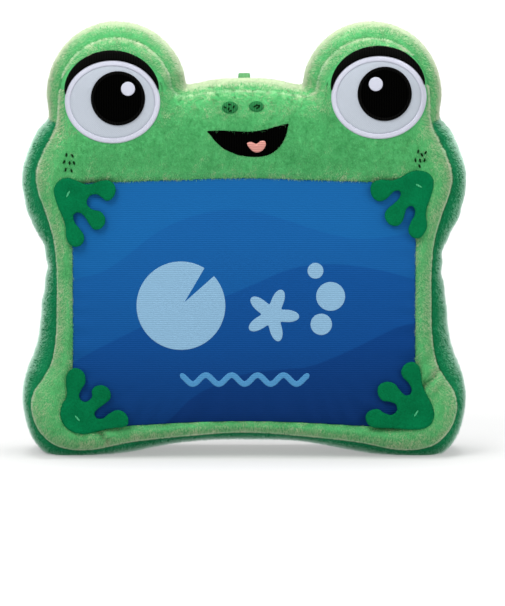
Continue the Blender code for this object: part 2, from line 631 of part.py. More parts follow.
def make_freckles(side):
    """Seven stitched dots joined by the thread that jumps between them."""
    centre = FRECKLE_CENTRE[side]
    sign = -1 if side == "left" else 1
    bm = bmesh.new()
    dots = []
    for x, z in FRECKLES:
        dots.append(Vector(((centre[0] - sign * x) * MM, FIRST_LAYER[1],
                            (centre[1] + z) * MM)))
    name = "freckles_" + side
    width, height = FRECKLE_THREAD
    for one, two in zip(FRECKLE_ORDER, FRECKLE_ORDER[1:]):
        along = (dots[two] - dots[one]).normalized() * width
        across = along.cross(Vector((0, 1, 0)))
        corners = (dots[one] + across, dots[one] - across, dots[two] - across, dots[two] + across)
        face = bm.faces.new([bm.verts.new(corner) for corner in corners])
        lift = bmesh.ops.extrude_face_region(bm, geom=[face])
        moved = [item for item in lift["geom"] if isinstance(item, bmesh.types.BMVert)]
        bmesh.ops.translate(bm, verts=moved, vec=(0, -height, 0))
    bmesh.ops.recalc_face_normals(bm, faces=bm.faces)
    threads = bpy.data.meshes.new(name + "_threads")
    bm.to_mesh(threads)
    bm.free()
    piece = None
    for dot in dots:
        outline = ellipse((dot.x / MM, dot.z / MM), (FRECKLE_RADIUS, FRECKLE_RADIUS), 8)
        round_dot = as_mesh(plate(name + "_dot", [outline], FIRST_LAYER, "dark_thread"))
        piece = joined(piece, round_dot)
    links = bpy.data.objects.new(name + "_links", threads)
    CUTTERS.objects.link(links)
    links.hide_render = True
    links.display_type = "WIRE"
    union = piece.modifiers.new("threads", "BOOLEAN")
    union.operation = "UNION"
    union.use_self = True
    union.object = links
    piece.name = name


def joined(first, second):
    """Second object's mesh added to the first."""
    if first is None:
        return second
    bm = bmesh.new()
    bm.from_mesh(first.data)
    bm.from_mesh(second.data)
    bm.to_mesh(first.data)
    bm.free()
    bpy.data.objects.remove(second, do_unlink=True)
    return first


def felt_cutter(name, corners):
    """Cutter through the felt with four corners in the XZ plane, in millimetres."""
    depths = (FELT_LAYER[0] - FELT_CLEARANCE, FELT_LAYER[1] + FELT_CLEARANCE)

    def fill(bm):
        near, far = ([bm.verts.new((corner.x * MM, depth, corner.y * MM)) for corner in corners]
                     for depth in depths)
        bm.faces.new(near)
        bm.faces.new(far)
        for index in range(len(corners)):
            bm.faces.new((near[index - 1], near[index], far[index], far[index - 1]))
    return add_cutter(name, fill)


def make_hand(name, tack, ahead, outline):
    """Felt hand: palm sewn down by a tack, toes that lift on a line across it."""
    tack = Vector(tack)
    towards = (Vector(ahead) - tack).normalized()
    across = Vector((-towards.y, towards.x))
    hinge = tack + towards * TOE_HINGE
    pivot = pivot_at("hand_" + name + "_hinge", (hinge.x * MM, FELT_LAYER[0], hinge.y * MM))
    for kind, sign, parent in (("hand_palm_", 1, None), ("hand_toes_", -1, pivot)):
        piece = as_mesh(plate(kind + name, [outline], FELT_LAYER, "felt", parent))
        edge = hinge - towards * sign * GAP / MM / 2
        away = towards * sign * HAND_REACH
        side = across * HAND_REACH
        corners = (edge - side, edge + side, edge + side + away, edge - side + away)
        cut(piece, felt_cutter(kind + name + "_cutter", corners))
    plate("tack_" + name, [ellipse(tack, TACK_RADII, 12)], TACK_LAYER, "dark_thread")


def make_loop(head):
    """Ribbon folded into a teardrop, on a pivot at the back seam of the head."""
    centre = Vector(LOOP_CENTRE)
    root = Vector(LOOP_ROOT)
    pivot = pivot_at("hanging_loop_hinge", Vector((0, root.x, root.y)) * MM)
    lean = centre - root
    angle = math.degrees(math.atan2(lean.y, lean.x))
    outer, inner = LOOP_RADII
    teardrop = ellipse(centre, (outer, outer), 19, (angle - LOOP_TANGENT, angle + LOOP_TANGENT))
    teardrop += ellipse(root, (LOOP_ROOT_RADIUS, LOOP_ROOT_RADIUS), 5,
                        (angle + LOOP_TANGENT, angle + 360 - LOOP_TANGENT))
    curve = plate("hanging_loop", [teardrop, ellipse(centre, (inner, inner), 20)],
                  (-LOOP_WIDTH / 2, LOOP_WIDTH / 2), "ribbon")
    curve.rotation_euler = (math.radians(90), 0, math.radians(90))
    curve.parent = pivot
    curve.location = -pivot.location
    pivot.parent = head
    pivot.location -= head.location


def main():
    head = pivot_at("head_hinge", NECK)
    make_front()
    make_gusset(head)
    make_back(head)
    make_filling(head)
    make_pocket()
    make_face(head)
    for name, (tack, ahead, outline) in HANDS.items():
        make_hand(name, tack, ahead, outline)
    make_loop(head)


main()
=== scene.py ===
import json
import math

import bmesh
import bpy
import numpy as np
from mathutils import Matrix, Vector
from mathutils.geometry import delaunay_2d_cdt

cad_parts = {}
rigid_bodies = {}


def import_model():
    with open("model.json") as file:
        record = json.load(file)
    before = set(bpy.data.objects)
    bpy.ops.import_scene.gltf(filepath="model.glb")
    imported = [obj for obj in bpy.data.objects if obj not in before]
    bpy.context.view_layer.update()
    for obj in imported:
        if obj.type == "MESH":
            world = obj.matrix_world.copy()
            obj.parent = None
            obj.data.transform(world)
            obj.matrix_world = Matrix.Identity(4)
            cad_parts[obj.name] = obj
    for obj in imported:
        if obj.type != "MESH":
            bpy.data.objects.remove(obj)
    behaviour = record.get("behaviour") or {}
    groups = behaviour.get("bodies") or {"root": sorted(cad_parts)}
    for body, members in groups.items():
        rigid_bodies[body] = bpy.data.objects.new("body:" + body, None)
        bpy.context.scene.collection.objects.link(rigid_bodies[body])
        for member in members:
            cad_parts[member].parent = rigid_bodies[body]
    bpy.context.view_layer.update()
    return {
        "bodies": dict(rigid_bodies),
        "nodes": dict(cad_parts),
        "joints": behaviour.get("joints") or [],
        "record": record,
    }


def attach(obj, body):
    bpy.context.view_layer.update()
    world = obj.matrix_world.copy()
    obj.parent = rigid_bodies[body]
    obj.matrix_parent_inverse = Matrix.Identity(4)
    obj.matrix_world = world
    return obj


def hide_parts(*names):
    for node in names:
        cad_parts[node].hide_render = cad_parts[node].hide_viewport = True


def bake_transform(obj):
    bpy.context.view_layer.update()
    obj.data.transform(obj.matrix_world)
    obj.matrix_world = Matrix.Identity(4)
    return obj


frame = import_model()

# Frog hand puppet. Shapes are worked out in millimetres and become metres when a mesh is made.
# Outlines run over the right half, from the bottom centre round to the top centre. They match
# the frame's point for point, except the seam over the crown, which is about 3 mm higher here.
MM = 0.001
SMOOTH = 8                 # outline points for each given point
SKIN = 1.6                 # thickness of the plush cloth under its pile
FLAT_FRONT = -27.2         # depths of the front and of the back, and of their seams
SEAM_FRONT = -19.0
FLAT_BACK = 30.0
SEAM_BACK = 19.0
WINDOW_DIP = 2.0           # how far the front sinks at the window and swells over its filling
FACE_SWELL = 2.0
SCREEN_THICKNESS = 1.4
SIDE_SEAM = 8              # numbers of the outline points where the gussets meet
CHEEK_SEAM = 19
DOME_CENTRE = (54.8, 155.7)
SEAM_RADIUS = 24.0         # radii of an eye dome at the seam and at the widest line
RIM_RADIUS = 29.4
DOME_ANGLES = (0, 18, 36, 54, 72, 90, 108, 126, 144, 160, 174)
NECK_HEIGHT = 124.5
WINDOW_MIDDLE = np.array((0.0, 65.5))
ARCH = (48.0, 20.0, 4.0)   # half width, height and centre of the pocket's mouth
SLEEVE = (50.6, 9.6)       # half width and half depth of the pocket's lining
SLEEVE_TOP = 119.5
LOOP_CENTRE = (22.6, 158.4)   # of the hanging loop, and where it is sewn in, in depth and height
LOOP_ROOT = (20.0, 155.2)
FRONT_NAP = 5.2            # fibres on a square millimetre
CROWN_NAP = 4.6
SIDE_NAP = 3.4
BACK_NAP = 3.0
FIBRE_LENGTH = 1.25
FIBRE_RADIUS = 0.105
FIBRE_ROOT = 0.15          # depth of a fibre's root in the cloth

SEAM_BODY = ((0, 11.0), (25, 9.4), (48, 6.9), (67, 3.4), (80, 5.0), (87.6, 11.2), (91.0, 20),
             (90.1, 27.5), (86, 34), (82.3, 41), (80.4, 52), (80, 66), (80, 80), (81.2, 93),
             (84.4, 104.5), (87.6, 113.5), (88.5, 121.7), (85.8, 130.3), (82.4, 137),
             (79.6, 143.6))
SEAM_CROWN = ((26.5, 155.0), (14, 156.6), (0, 157.2))
RIM_BODY = ((0, 6.9), (25, 6.0), (49, 1.6), (68, -0.9), (83, -0.4), (91.2, 7.5), (94.6, 20),
            (94.6, 28), (92.8, 36), (89.6, 44), (87.4, 53), (86.2, 66), (84.2, 81), (86, 91),
            (91.4, 101), (94.3, 112), (94.7, 121.7), (92.2, 130.3), (88.6, 138.2), (83.4, 145))
RIM_CROWN = ((22.5, 157.9), (12, 160.0), (0, 160.6))
WINDOW = ((0, 16.4), (22, 15.9), (44, 14.7), (60, 13.9), (69.3, 15.2), (72.5, 19.3), (73.1, 25),
          (73.2, 31), (73.1, 37), (73.0, 44), (73.0, 53), (73.0, 66), (73.0, 80), (73.1, 92),
          (73.2, 102), (73.0, 110.5), (71.8, 115.6), (68, 118), (62, 118.5), (56, 118.7),
          *((x, 118.8 + (53 - x) * 0.03) for x in range(53, 20, -3)), (18, 120), (9, 120.2),
          (0, 120.3))

EYES = {"left": (-56.1, 153.4), "right": (57.5, 155.3)}
EYE_RADII = (20.4, 17.7)
EYE_BORDER = 2.5
PUPIL_OFFSET = (2.4, 1.6)
PUPIL_RADIUS = 9.9
PUPIL_BORDER = 1.8
HIGHLIGHT = {"left": (4.3, 4.1), "right": (-3.8, 4.2)}
HIGHLIGHT_RADIUS = 3.1
EYELID = 4.1
EYELID_SPAN = (17, 170)
SATIN_PITCH = 0.62         # width of one stitch along a satin border

NOSTRILS = {"left": (-6.0, 151.0, 3.4, 2.5), "right": (5.3, 151.4, 3.1, 2.2)}
MOUTH = ((-15.7, 140.8), (-12.8, 141.2), (-8.6, 141.2), (-4.3, 141.0), (-0.7, 140.8), (2.8, 140.8),
         (7.1, 141.3), (11.4, 142.3), (15.0, 143.3), (18.7, 144.1), (18.6, 142.4), (18.0, 139.4),
         (16.7, 136.5), (15.0, 134.0), (12.1, 131.6), (8.9, 130.3), (5.7, 129.9), (2.1, 130.0),
         (-2.1, 130.6), (-5.0, 131.7), (-8.2, 133.1), (-10.7, 135.1), (-12.8, 137.2),
         (-14.3, 139.2))
NOSTRIL_DASHES = {
    "left": (((-2.1, 0.1), (0.9, -0.43)), ((-0.2, 1.3), (0.98, -0.2)), ((1.6, 0.3), (0.5, 0.86)),
             ((0.2, -1.4), (0.9, 0.43)), ((-0.6, -0.5), (0.3, 0.95))),
    "right": (((-0.7, 0.1), (0.9, 0.43)), ((0.3, 0.6), (0.98, -0.2)), ((0.5, -0.5), (0.8, 0.6)),
              ((1.2, 0.2), (0.3, 0.95))),
}
TONGUE = ((1.3, 136.1), (3.2, 136.5), (5.2, 135.7), (7.0, 136.9), (8.7, 136.9), (9.4, 135.8),
          (9.1, 134.3), (7.8, 132.6), (5.7, 131.8), (3.9, 132.2), (2.4, 133.5), (1.4, 134.9))
FRECKLES = {
    "left": ((-74.6, 127.3), ((-1.2, 3.5), (1.4, 3.1), (-2.1, 0.5), (0.2, 0), (2.1, 0),
                              (-1.5, -2.9), (1.0, -3.3))),
    "right": ((75.1, 129.0), ((-0.8, 3.2), (0.8, 1.7), (2.3, 2.7), (-2.0, -0.5), (0, -0.7),
                              (1.9, -0.5), (-0.3, -3.0))),
}
FRECKLE_ANGLES = (80, 118, 65, 92, 104, 75, 110)
# Felt hands: where each is tacked, the place its toes fold towards, and its outline
HANDS = {
    "upper_left": ((-75.1, 114.0), (-69.1, 108.7), (
        (-81.2, 116.1), (-79.0, 119.8), (-75.3, 121.0), (-71.6, 119.8), (-67.8, 118.3),
        (-64.5, 118.5), (-61.1, 119.7), (-57.7, 119.9), (-55.2, 117.8), (-54.9, 114.7),
        (-56.4, 112.0), (-58.7, 111.1), (-60.8, 112.6), (-62.8, 113.8), (-65.5, 113.4),
        (-67.0, 111.3), (-66.7, 109.0), (-64.5, 107.3), (-61.4, 106.6), (-59.4, 104.2),
        (-59.4, 101.5), (-61.1, 99.3), (-63.7, 98.8), (-65.7, 100.5), (-67.5, 103.5),
        (-69.2, 105.4), (-71.2, 106.1), (-72.8, 104.8), (-72.4, 102.0), (-70.4, 99.5),
        (-68.5, 96.7), (-68.3, 94.2), (-69.9, 92.0), (-72.6, 91.5), (-74.9, 93.0), (-76.0, 96.1),
        (-76.2, 99.5), (-77.2, 103.5), (-79.0, 107.6), (-80.5, 111.7))),
    "upper_right": ((74.6, 117.5), (69.1, 111.7), (
        (53.9, 116.2), (54.5, 118.5), (56.9, 120.0), (59.8, 120.2), (63.3, 119.9), (66.3, 120.9),
        (68.8, 122.4), (71.4, 123.7), (74.4, 124.2), (77.4, 123.7), (79.5, 122.3), (80.8, 120.0),
        (80.8, 117.5), (80.2, 114.5), (79.1, 111.0), (78.0, 108.0), (77.6, 104.6), (78.1, 102.0),
        (78.0, 99.4), (76.7, 96.8), (74.8, 95.1), (72.2, 95.3), (70.5, 97.1), (70.2, 99.4),
        (71.2, 102.0), (72.6, 104.6), (73.0, 106.7), (72.2, 108.4), (70.8, 108.8), (69.3, 107.6),
        (68.6, 105.4), (68.0, 103.3), (66.7, 101.1), (64.6, 100.3), (62.0, 101.1), (60.3, 103.3),
        (60.2, 105.9), (61.6, 108.0), (63.7, 109.7), (65.8, 111.7), (66.8, 113.7), (66.3, 115.2),
        (64.8, 115.4), (63.3, 114.5), (61.6, 112.7), (59.8, 111.4), (57.7, 110.9), (55.6, 111.9),
        (54.3, 113.8))),
    "lower_left": ((-71.4, 17.7), (-66.8, 22.6), (
        (-75.9, 27.3), (-76.2, 33.2), (-75.7, 36.8), (-73.2, 39.3), (-70.1, 38.8), (-68.1, 36.4),
        (-68.0, 32.8), (-69.6, 30.1), (-70.6, 27.6), (-69.6, 25.3), (-67.2, 24.9), (-65.1, 26.9),
        (-65.1, 29.6), (-63.3, 31.6), (-60.2, 31.9), (-57.5, 29.8), (-57.2, 26.4), (-59.5, 24.0),
        (-62.4, 21.9), (-64.0, 19.9), (-63.1, 17.8), (-60.4, 17.7), (-57.8, 19.7), (-54.8, 21.2),
        (-51.9, 20.8), (-49.8, 18.3), (-49.7, 15.3), (-51.9, 13.9), (-55.2, 13.5), (-58.4, 13.1),
        (-62.0, 12.2), (-65.6, 11.3), (-69.2, 10.9), (-73.7, 11.9), (-77.3, 15.0), (-78.7, 19.2),
        (-77.9, 23.7))),
    "lower_right": ((73.7, 19.8), (67.7, 24.3), (
        (67.2, 37.7), (68.5, 40.7), (71.7, 42.1), (74.6, 40.5), (75.7, 36.8), (76.4, 31.9),
        (78.6, 27.3), (80.7, 22.8), (81.4, 18.8), (79.9, 15.0), (76.3, 13.1), (71.7, 12.8),
        (67.2, 13.1), (62.7, 13.4), (58.2, 13.5), (54.7, 14.0), (52.6, 15.9), (52.0, 18.8),
        (53.9, 21.1), (57.3, 21.7), (60.1, 20.0), (63.1, 19.2), (65.4, 21.0), (64.9, 23.7),
        (62.2, 24.8), (58.9, 25.5), (57.2, 28.5), (57.7, 31.9), (60.9, 33.5), (64.5, 32.5),
        (66.7, 29.8), (68.8, 27.7), (70.9, 28.0), (71.7, 30.1), (70.3, 33.0), (68.1, 35.2))),
}
TACK_ANGLES = {"upper_left": 62, "upper_right": -28, "lower_left": -50, "lower_right": 58}
FELT_FRONT = -28.1         # depth that the felt lies at, and its fold's
FELT_THICKNESS = 1.5
FELT_GRID = 1.1            # spacing of the points inside the felt's outline
# Cut edge of the felt from bottom to top: inset, and height as a share of the thickness
FELT_EDGE = ((0.28, 0.0), (0.06, 0.22), (0.0, 0.5), (0.10, 0.84), (0.36, 1.0))
TACK_PULL = 0.8
TOE_CURL = 0.9

LIGHTS = (("key", (-0.5, -0.9, 1.0), 0.6, 12.0), ("fill", (0.7, -1.0, 0.6), 0.8, 5.5),
          ("top", (0.0, 0.05, 1.0), 0.6, 10.5))
AIM = Vector((0.0036, 0.0, 0.0645))
CAMERA_TILT = 5.5
CAMERA_DISTANCE = 3.0
VIEW_HEIGHT = 0.2615


# ------------------------------------------------------------------ outlines and surfaces
def mirrored(half):
    """Closed outline from its right half."""
    return np.array([*half, *((-x, z) for x, z in reversed(half[1:-1]))], float)


def smooth(keys, samples=SMOOTH):
    """Closed Catmull-Rom curve through keys."""
    keys = np.asarray(keys, float)
    before, after, beyond = (np.roll(keys, shift, axis=0) for shift in (1, -1, -2))
    out = []
    for step in range(samples):
        t = step / samples
        out.append(0.5 * (2 * keys + (after - before) * t
                          + (2 * before - 5 * keys + 4 * after - beyond) * t ** 2
                          + (3 * keys - before - 3 * after + beyond) * t ** 3))
    return np.stack(out, 1).reshape(-1, 2)


def dome(radius):
    """Points round an eye dome, from its outer side over the top."""
    angles = np.radians(DOME_ANGLES)
    return [(DOME_CENTRE[0] + radius * math.cos(a), DOME_CENTRE[1] + radius * math.sin(a))
            for a in angles]


def unit(vectors):
    """Vectors brought to length 1."""
    return vectors / np.linalg.norm(vectors, axis=-1, keepdims=True)


def full_turn(count):
    """Even angles once round."""
    return np.arange(count) * 2 * math.pi / count


def outward(outline):
    """Unit normals that point out of an anticlockwise outline."""
    along = np.roll(outline, -1, axis=0) - np.roll(outline, 1, axis=0)
    return unit(np.stack([along[:, 1], -along[:, 0]], 1))


SEAM = smooth(mirrored([*SEAM_BODY, *dome(SEAM_RADIUS), *SEAM_CROWN]))
RIM = smooth(mirrored([*RIM_BODY, *dome(RIM_RADIUS), *RIM_CROWN]))
OPENING = smooth(mirrored(WINDOW))
SEAM_NORMAL = outward(SEAM)
COUNT = len(SEAM)


def distance_to(outline, points):
    """Distance in the XZ plane from each point to a closed outline."""
    start = outline
    run = np.roll(outline, -1, axis=0) - start
    length = (run ** 2).sum(1)
    nearest = np.full(len(points), 1e9)
    for low in range(0, len(points), 4000):
        part = points[low:low + 4000]
        rel = part[:, None] - start[None]
        t = np.clip((rel * run).sum(2) / length, 0, 1)
        gap = rel - t[..., None] * run
        nearest[low:low + 4000] = np.sqrt((gap ** 2).sum(2).min(1))
    return nearest


def inside(outline, points):
    """True for each point inside a closed outline."""
    x, z = points[:, 0], points[:, 1]
    found = np.zeros(len(points), bool)
    after = np.roll(outline, -1, axis=0)
    for (x1, z1), (x2, z2) in zip(outline, after):
        if z1 == z2:
            continue
        crosses = (z1 > z) != (z2 > z)
        found ^= crosses & (x < (x2 - x1) * (z - z1) / (z2 - z1) + x1)
    return found


def rounded(t, power=2.3):
    """Rise from 0 to 1 that starts steep and ends flat."""
    t = np.clip(t, 0, 1)
    return (1 - (1 - t) ** power) ** (1 / power)


def waves(points, scale, seed):
    """Soft unevenness between about -1 and 1, made of a few crossing waves."""
    draw = np.random.default_rng(seed)
    total = np.zeros(len(points))
    for _ in range(6):
        turn = draw.uniform(0, 2 * math.pi, points.shape[1])
        way = draw.normal(size=points.shape[1])
        way /= np.linalg.norm(way)
        size = scale * draw.uniform(0.7, 1.6)
        total += np.sin((points @ way) * 2 * math.pi / size + turn[0])
    return total / 6


# Tucks in the plush front: from, to, depth and half width
CREASES = (((76.0, 31.0), (84.5, 38.6), 2.4, 1.2), ((-62.5, 12.0), (-57.5, 6.0), 2.2, 1.2),
           ((-85.5, 150.0), (-78.0, 139.0), 0.5, 1.4), ((68.0, 131.5), (84.0, 127.5), 0.4, 1.5))


def front_depth(points):
    """Depth of the plush front: rounded to the seam, dipped at the window, full at the face."""
    from_seam = distance_to(SEAM, points)
    from_window = distance_to(OPENING, points)
    depth = SEAM_FRONT + (FLAT_FRONT - 0.6 - SEAM_FRONT) * rounded(from_seam / 7.0)
    depth += WINDOW_DIP * np.exp(-(from_window / 1.7) ** 2)
    full = np.clip(np.minimum(from_seam, from_window) / 16, 0, 1)
    depth -= FACE_SWELL * full * full * (3 - 2 * full)
    for start, end, deep, wide in CREASES:
        run = np.subtract(end, start)
        rel = points - start
        share = np.clip(rel @ run / (run @ run), 0, 1)
        off = np.linalg.norm(rel - share[:, None] * run, axis=1)
        beside = np.exp(-((off - 2.4 * wide) / (1.6 * wide)) ** 2)
        depth += deep * np.exp(-(off / wide) ** 2) - 0.45 * deep * beside
    return depth + 0.22 * waves(points, 26, 3)


def screen_depth(points):
    """Depth of the printed panel: slack, a little domed, puckered along its seam."""
    x, z = points[:, 0], points[:, 1]
    edge = distance_to(OPENING, points)
    dome_share = np.clip(edge / 34, 0, 1)
    depth = -25.9 - 1.0 * rounded(edge / 5) - 0.9 * dome_share * (2 - dome_share)
    low = np.exp(-((z - 15.0) / 10) ** 2)
    sides = np.exp(-((73.8 - np.abs(x)) / 7) ** 2)
    pucker = 0.75 * low * np.sin(x * 0.62 + 1.3 * np.sin(x * 0.17) + (z - 15) * x * 0.004)
    pucker += 0.30 * sides * np.sin(z * 0.75 + np.sin(z * 0.19))
    corner = np.exp(-(((np.abs(x) - 66) / 14) ** 2 + ((z - 20) / 14) ** 2))
    pucker += 0.85 * corner * np.sin((np.abs(x) - z) * 0.55)
    return depth + pucker * rounded(edge / 3) + 0.12 * waves(points, 30, 11)


def back_depth(points):
    """Depth of the plush back: rounded to the seam, slightly uneven."""
    from_seam = distance_to(SEAM, points)
    depth = SEAM_BACK + (FLAT_BACK - 1.4 - SEAM_BACK) * rounded(from_seam / 9.0)
    full = np.clip(from_seam / 30, 0, 1)
    return depth + 1.3 * full + 0.3 * waves(points, 34, 5)


# ------------------------------------------------------------------ meshes
def show(name, mesh, material):
    """Object in the scene for a finished mesh."""
    mesh.materials.append(material)
    obj = bpy.data.objects.new(name, mesh)
    bpy.context.scene.collection.objects.link(obj)
    return obj


def link(name, verts, faces, material):
    """Smooth object from vertices in millimetres."""
    mesh = bpy.data.meshes.new(name)
    mesh.from_pydata((np.asarray(verts) * MM).tolist(), [], faces)
    mesh.shade_smooth()
    return show(name, mesh, material)


def fix_normals(obj):
    """Turn every face outwards."""
    bm = bmesh.new()
    bm.from_mesh(obj.data)
    bmesh.ops.recalc_face_normals(bm, faces=bm.faces)
    bm.to_mesh(obj.data)
    bm.free()
    return obj


def loft(name, rings, material, hollow=False, around=True):
    """Mesh through rings of points. hollow closes the section, around closes each ring."""
    rings = [np.asarray(ring) for ring in rings]
    count = len(rings[0])
    verts = np.concatenate(rings)
    total = len(rings)
    faces = []
    for one in range(total if hollow else total - 1):
        two = (one + 1) % total
        a, b = one * count, two * count
        for index in range(0 if around else 1, count):
            faces.append((a + index - 1 if index else a + count - 1, a + index,
                          b + index, b + index - 1 if index else b + count - 1))
    if not around:
        section = [r * count for r in range(total)]
        half = total // 2
        for edge in (0, count - 1):
            for row in range(half - 1):
                faces.append((section[row] + edge, section[row + 1] + edge,
                              section[total - 2 - row] + edge, section[total - 1 - row] + edge))
    elif not hollow:
        faces.append(tuple(range(count)))
        faces.append(tuple(range((total - 1) * count, total * count)))
    return fix_normals(link(name, verts, faces, material))


def with_depth(flat, depth):
    """Points in the XZ plane moved to a depth along Y."""
    return np.stack([flat[:, 0], depth, flat[:, 1]], 1)


def inset_seam(*amounts):
    """The seam moved inwards, once for each amount."""
    return [SEAM - SEAM_NORMAL * amount for amount in amounts]


def inner_skin(rings, towards):
    """Inside of a plush skin: its rings in reverse, moved in by the cloth's thickness."""
    inner = []
    for ring in reversed(rings):
        squeeze = np.clip(1 - distance_to(SEAM, ring[:, [0, 2]]) / SKIN, 0, 1)[:, None]
        inward = ring + (0, towards * SKIN, 0)
        inward[:, [0, 2]] -= SEAM_NORMAL * squeeze * SKIN
        inner.append(inward)
    return inner


def nod(obj):
    """The piece's placement is baked into its mesh."""
    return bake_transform(obj)


# ------------------------------------------------------------------ pile
def grid_samples(grid, density, seed):
    """Random places on a grid of points (rows, columns, 3): places, unit normals."""
    draw = np.random.default_rng(seed)
    a, b = grid[:-1, :-1], grid[:-1, 1:]
    c, d = grid[1:, 1:], grid[1:, :-1]
    cross = np.cross(c - a, d - b).reshape(-1, 3)
    area = np.linalg.norm(cross, axis=1) / 2
    wanted = int(area.sum() * density)
    cell = draw.choice(len(area), wanted, p=area / area.sum())
    u, v = draw.random((2, wanted, 1))
    corners = [part.reshape(-1, 3)[cell] for part in (a, b, c, d)]
    places = (corners[0] * (1 - u) * (1 - v) + corners[1] * u * (1 - v)
              + corners[2] * u * v + corners[3] * (1 - u) * v)
    return places, unit(cross[cell])


def skin_samples(rings, density, seed, towards):
    """Random places over closed rings, with normals that point forwards (-1) or back (1)."""
    grid = np.stack(rings)
    grid = np.concatenate([grid, grid[:, :1]], axis=1)
    places, normals = grid_samples(grid, density, seed)
    normals *= np.where(normals[:, 1:2] * towards < 0, -1, 1)
    return places, normals


def pile(name, places, normals, material, tone, seed, droop=0.75, near_seam=None):
    """Short plush fibres: each is a slim closed spike that leans down with the lay."""
    draw = np.random.default_rng(seed)
    count = len(places)
    down = np.array((0, 0, -droop))
    lean = down - (normals @ down)[:, None] * normals
    tuft = np.stack([waves(places, 3.4, seed + turn) for turn in (1, 2, 3)], 1)
    way = unit(normals + lean + 0.8 * tuft + draw.normal(scale=0.2, size=(count, 3)))
    reach = FIBRE_LENGTH * draw.uniform(0.7, 1.12, (count, 1))
    if near_seam is not None:
        reach *= 0.55 + 0.45 * np.clip(near_seam / 2.5, 0, 1)[:, None]
    side = unit(np.cross(way, draw.normal(size=(count, 3))))
    other = np.cross(way, side)
    verts = np.empty((count, 4, 3))
    for corner in range(3):
        angle = corner * 2 * math.pi / 3
        verts[:, corner] = (places - normals * FIBRE_ROOT
                            + FIBRE_RADIUS * (math.cos(angle) * side + math.sin(angle) * other))
    verts[:, 3] = places + way * reach
    verts[:, :, 2] = np.maximum(verts[:, :, 2], 0.05)
    corners = np.array([(0, 1, 3), (1, 2, 3), (2, 0, 3), (2, 1, 0)])
    faces = (np.arange(count)[:, None, None] * 4 + corners).reshape(-1, 3).astype(np.int32)
    mesh = bpy.data.meshes.new(name)
    mesh.vertices.add(count * 4)
    mesh.vertices.foreach_set("co", (verts * MM).astype(np.float32).ravel())
    mesh.loops.add(len(faces) * 3)
    mesh.loops.foreach_set("vertex_index", faces.ravel())
    mesh.polygons.add(len(faces))
    mesh.polygons.foreach_set("loop_start", np.arange(len(faces), dtype=np.int32) * 3)
    mesh.update(calc_edges=True)
    mesh.shade_smooth()
    # U is the fibre's tone and V runs from root to tip
    layer = mesh.uv_layers.new(name="OFBake")
    tone = tone + 0.19 * waves(places, 2.6, seed + 4) + draw.normal(scale=0.06, size=count)
    tone = np.clip(tone, 0.02, 0.98)
    uv = np.empty((count, 4, 2), np.float32)
    uv[..., 0] = tone[:, None] + np.array([-0.006, 0.0, 0.006, 0.0])
    uv[..., 1] = np.array([0.03, 0.05, 0.03, 0.97])
    layer.uv.foreach_set("vector", uv.reshape(-1, 2)[faces.ravel()].ravel())
    shading = unit(np.repeat(normals[:, None], 4, axis=1) + 0.45 * np.stack(
        [side, other, -side - other, way], 1))
    mesh.normals_split_custom_set_from_vertices(shading.reshape(-1, 3).tolist())
    return show(name, mesh, material)


# ------------------------------------------------------------------ materials
def fill_in(node, inputs):
    """Give each input its value, or link it where the value is another node's socket."""
    for name, value in inputs.items():
        if isinstance(value, bpy.types.NodeSocket):
            node.id_data.links.new(value, node.inputs[name])
        else:
            node.inputs[name].default_value = value


def add(tree, kind, inputs=None, **settings):
    """New shader node with its settings and inputs."""
    node = tree.nodes.new("ShaderNode" + kind)
    for name, value in settings.items():
        setattr(node, name, value)
    fill_in(node, inputs or {})
    return node


def shader_of(name, roughness, sheen=0.0, sheen_tint=(1, 1, 1), sheen_roughness=0.4,
              specular=0.1):
    """New material, its node tree and its shader."""
    material = bpy.data.materials.new(name)
    material.use_nodes = True
    shader = material.node_tree.nodes["Principled BSDF"]
    fill_in(shader, {"Roughness": roughness, "Specular IOR Level": specular,
                     "Sheen Weight": sheen, "Sheen Roughness": sheen_roughness,
                     "Sheen Tint": (*sheen_tint, 1)})
    return material, material.node_tree, shader


def ramp(tree, factor, stops):
    """Colour found by a factor along stops."""
    node = add(tree, "ValToRGB", {"Fac": factor})
    elements = node.color_ramp.elements
    while len(elements) < len(stops):
        elements.new(0.5)
    for element, (place, colour) in zip(elements, stops):
        element.position = place
        element.color = (*colour, 1)
    return node.outputs["Color"]


def remap(tree, value, low, high, start=0.0, end=1.0):
    """Value carried from low and high to start and end, and held outside them."""
    return add(tree, "MapRange", {"Value": value, "From Min": low, "From Max": high,
                                  "To Min": start, "To Max": end}).outputs["Result"]


def multiply(tree, one, two):
    """Product of two colours."""
    return add(tree, "Mix", {0: 1.0, 6: one, 7: two}, data_type="RGBA",
               blend_type="MULTIPLY").outputs[2]


def calculate(tree, operation, *values):
    """Result of a math node."""
    values = dict(enumerate(values))
    return add(tree, "Math", values, operation=operation).outputs[0]


def pile_material(name, deep, middle, pale, sheen, tint):
    """Tone from U, from deep to pale, as set for each fibre with its painted highlights and shade;
    roots darker than tips along V, painted shade deep in the pile.
    """
    material, tree, shader = shader_of(name, 0.9, sheen, tint, 0.45)
    uv = add(tree, "UVMap", uv_map="OFBake").outputs["UV"]
    split = add(tree, "SeparateXYZ", {0: uv})
    tone = ramp(tree, split.outputs["X"], ((0.04, deep), (0.38, middle), (0.82, pale)))
    # Painted shade: each fibre darker towards its root
    depth = ramp(tree, split.outputs["Y"],
                 ((0.0, (0.42, 0.42, 0.42)), (0.6, (0.95, 0.95, 0.95)), (1.0, (1, 1, 1))))
    fill_in(shader, {"Base Color": multiply(tree, tone, depth)})
    return material


def noise(tree, place, scale, detail):
    """Soft random spots between 0 and 1."""
    return add(tree, "TexNoise", {"Scale": scale, "Detail": detail,
                                  "Vector": place}).outputs["Fac"]


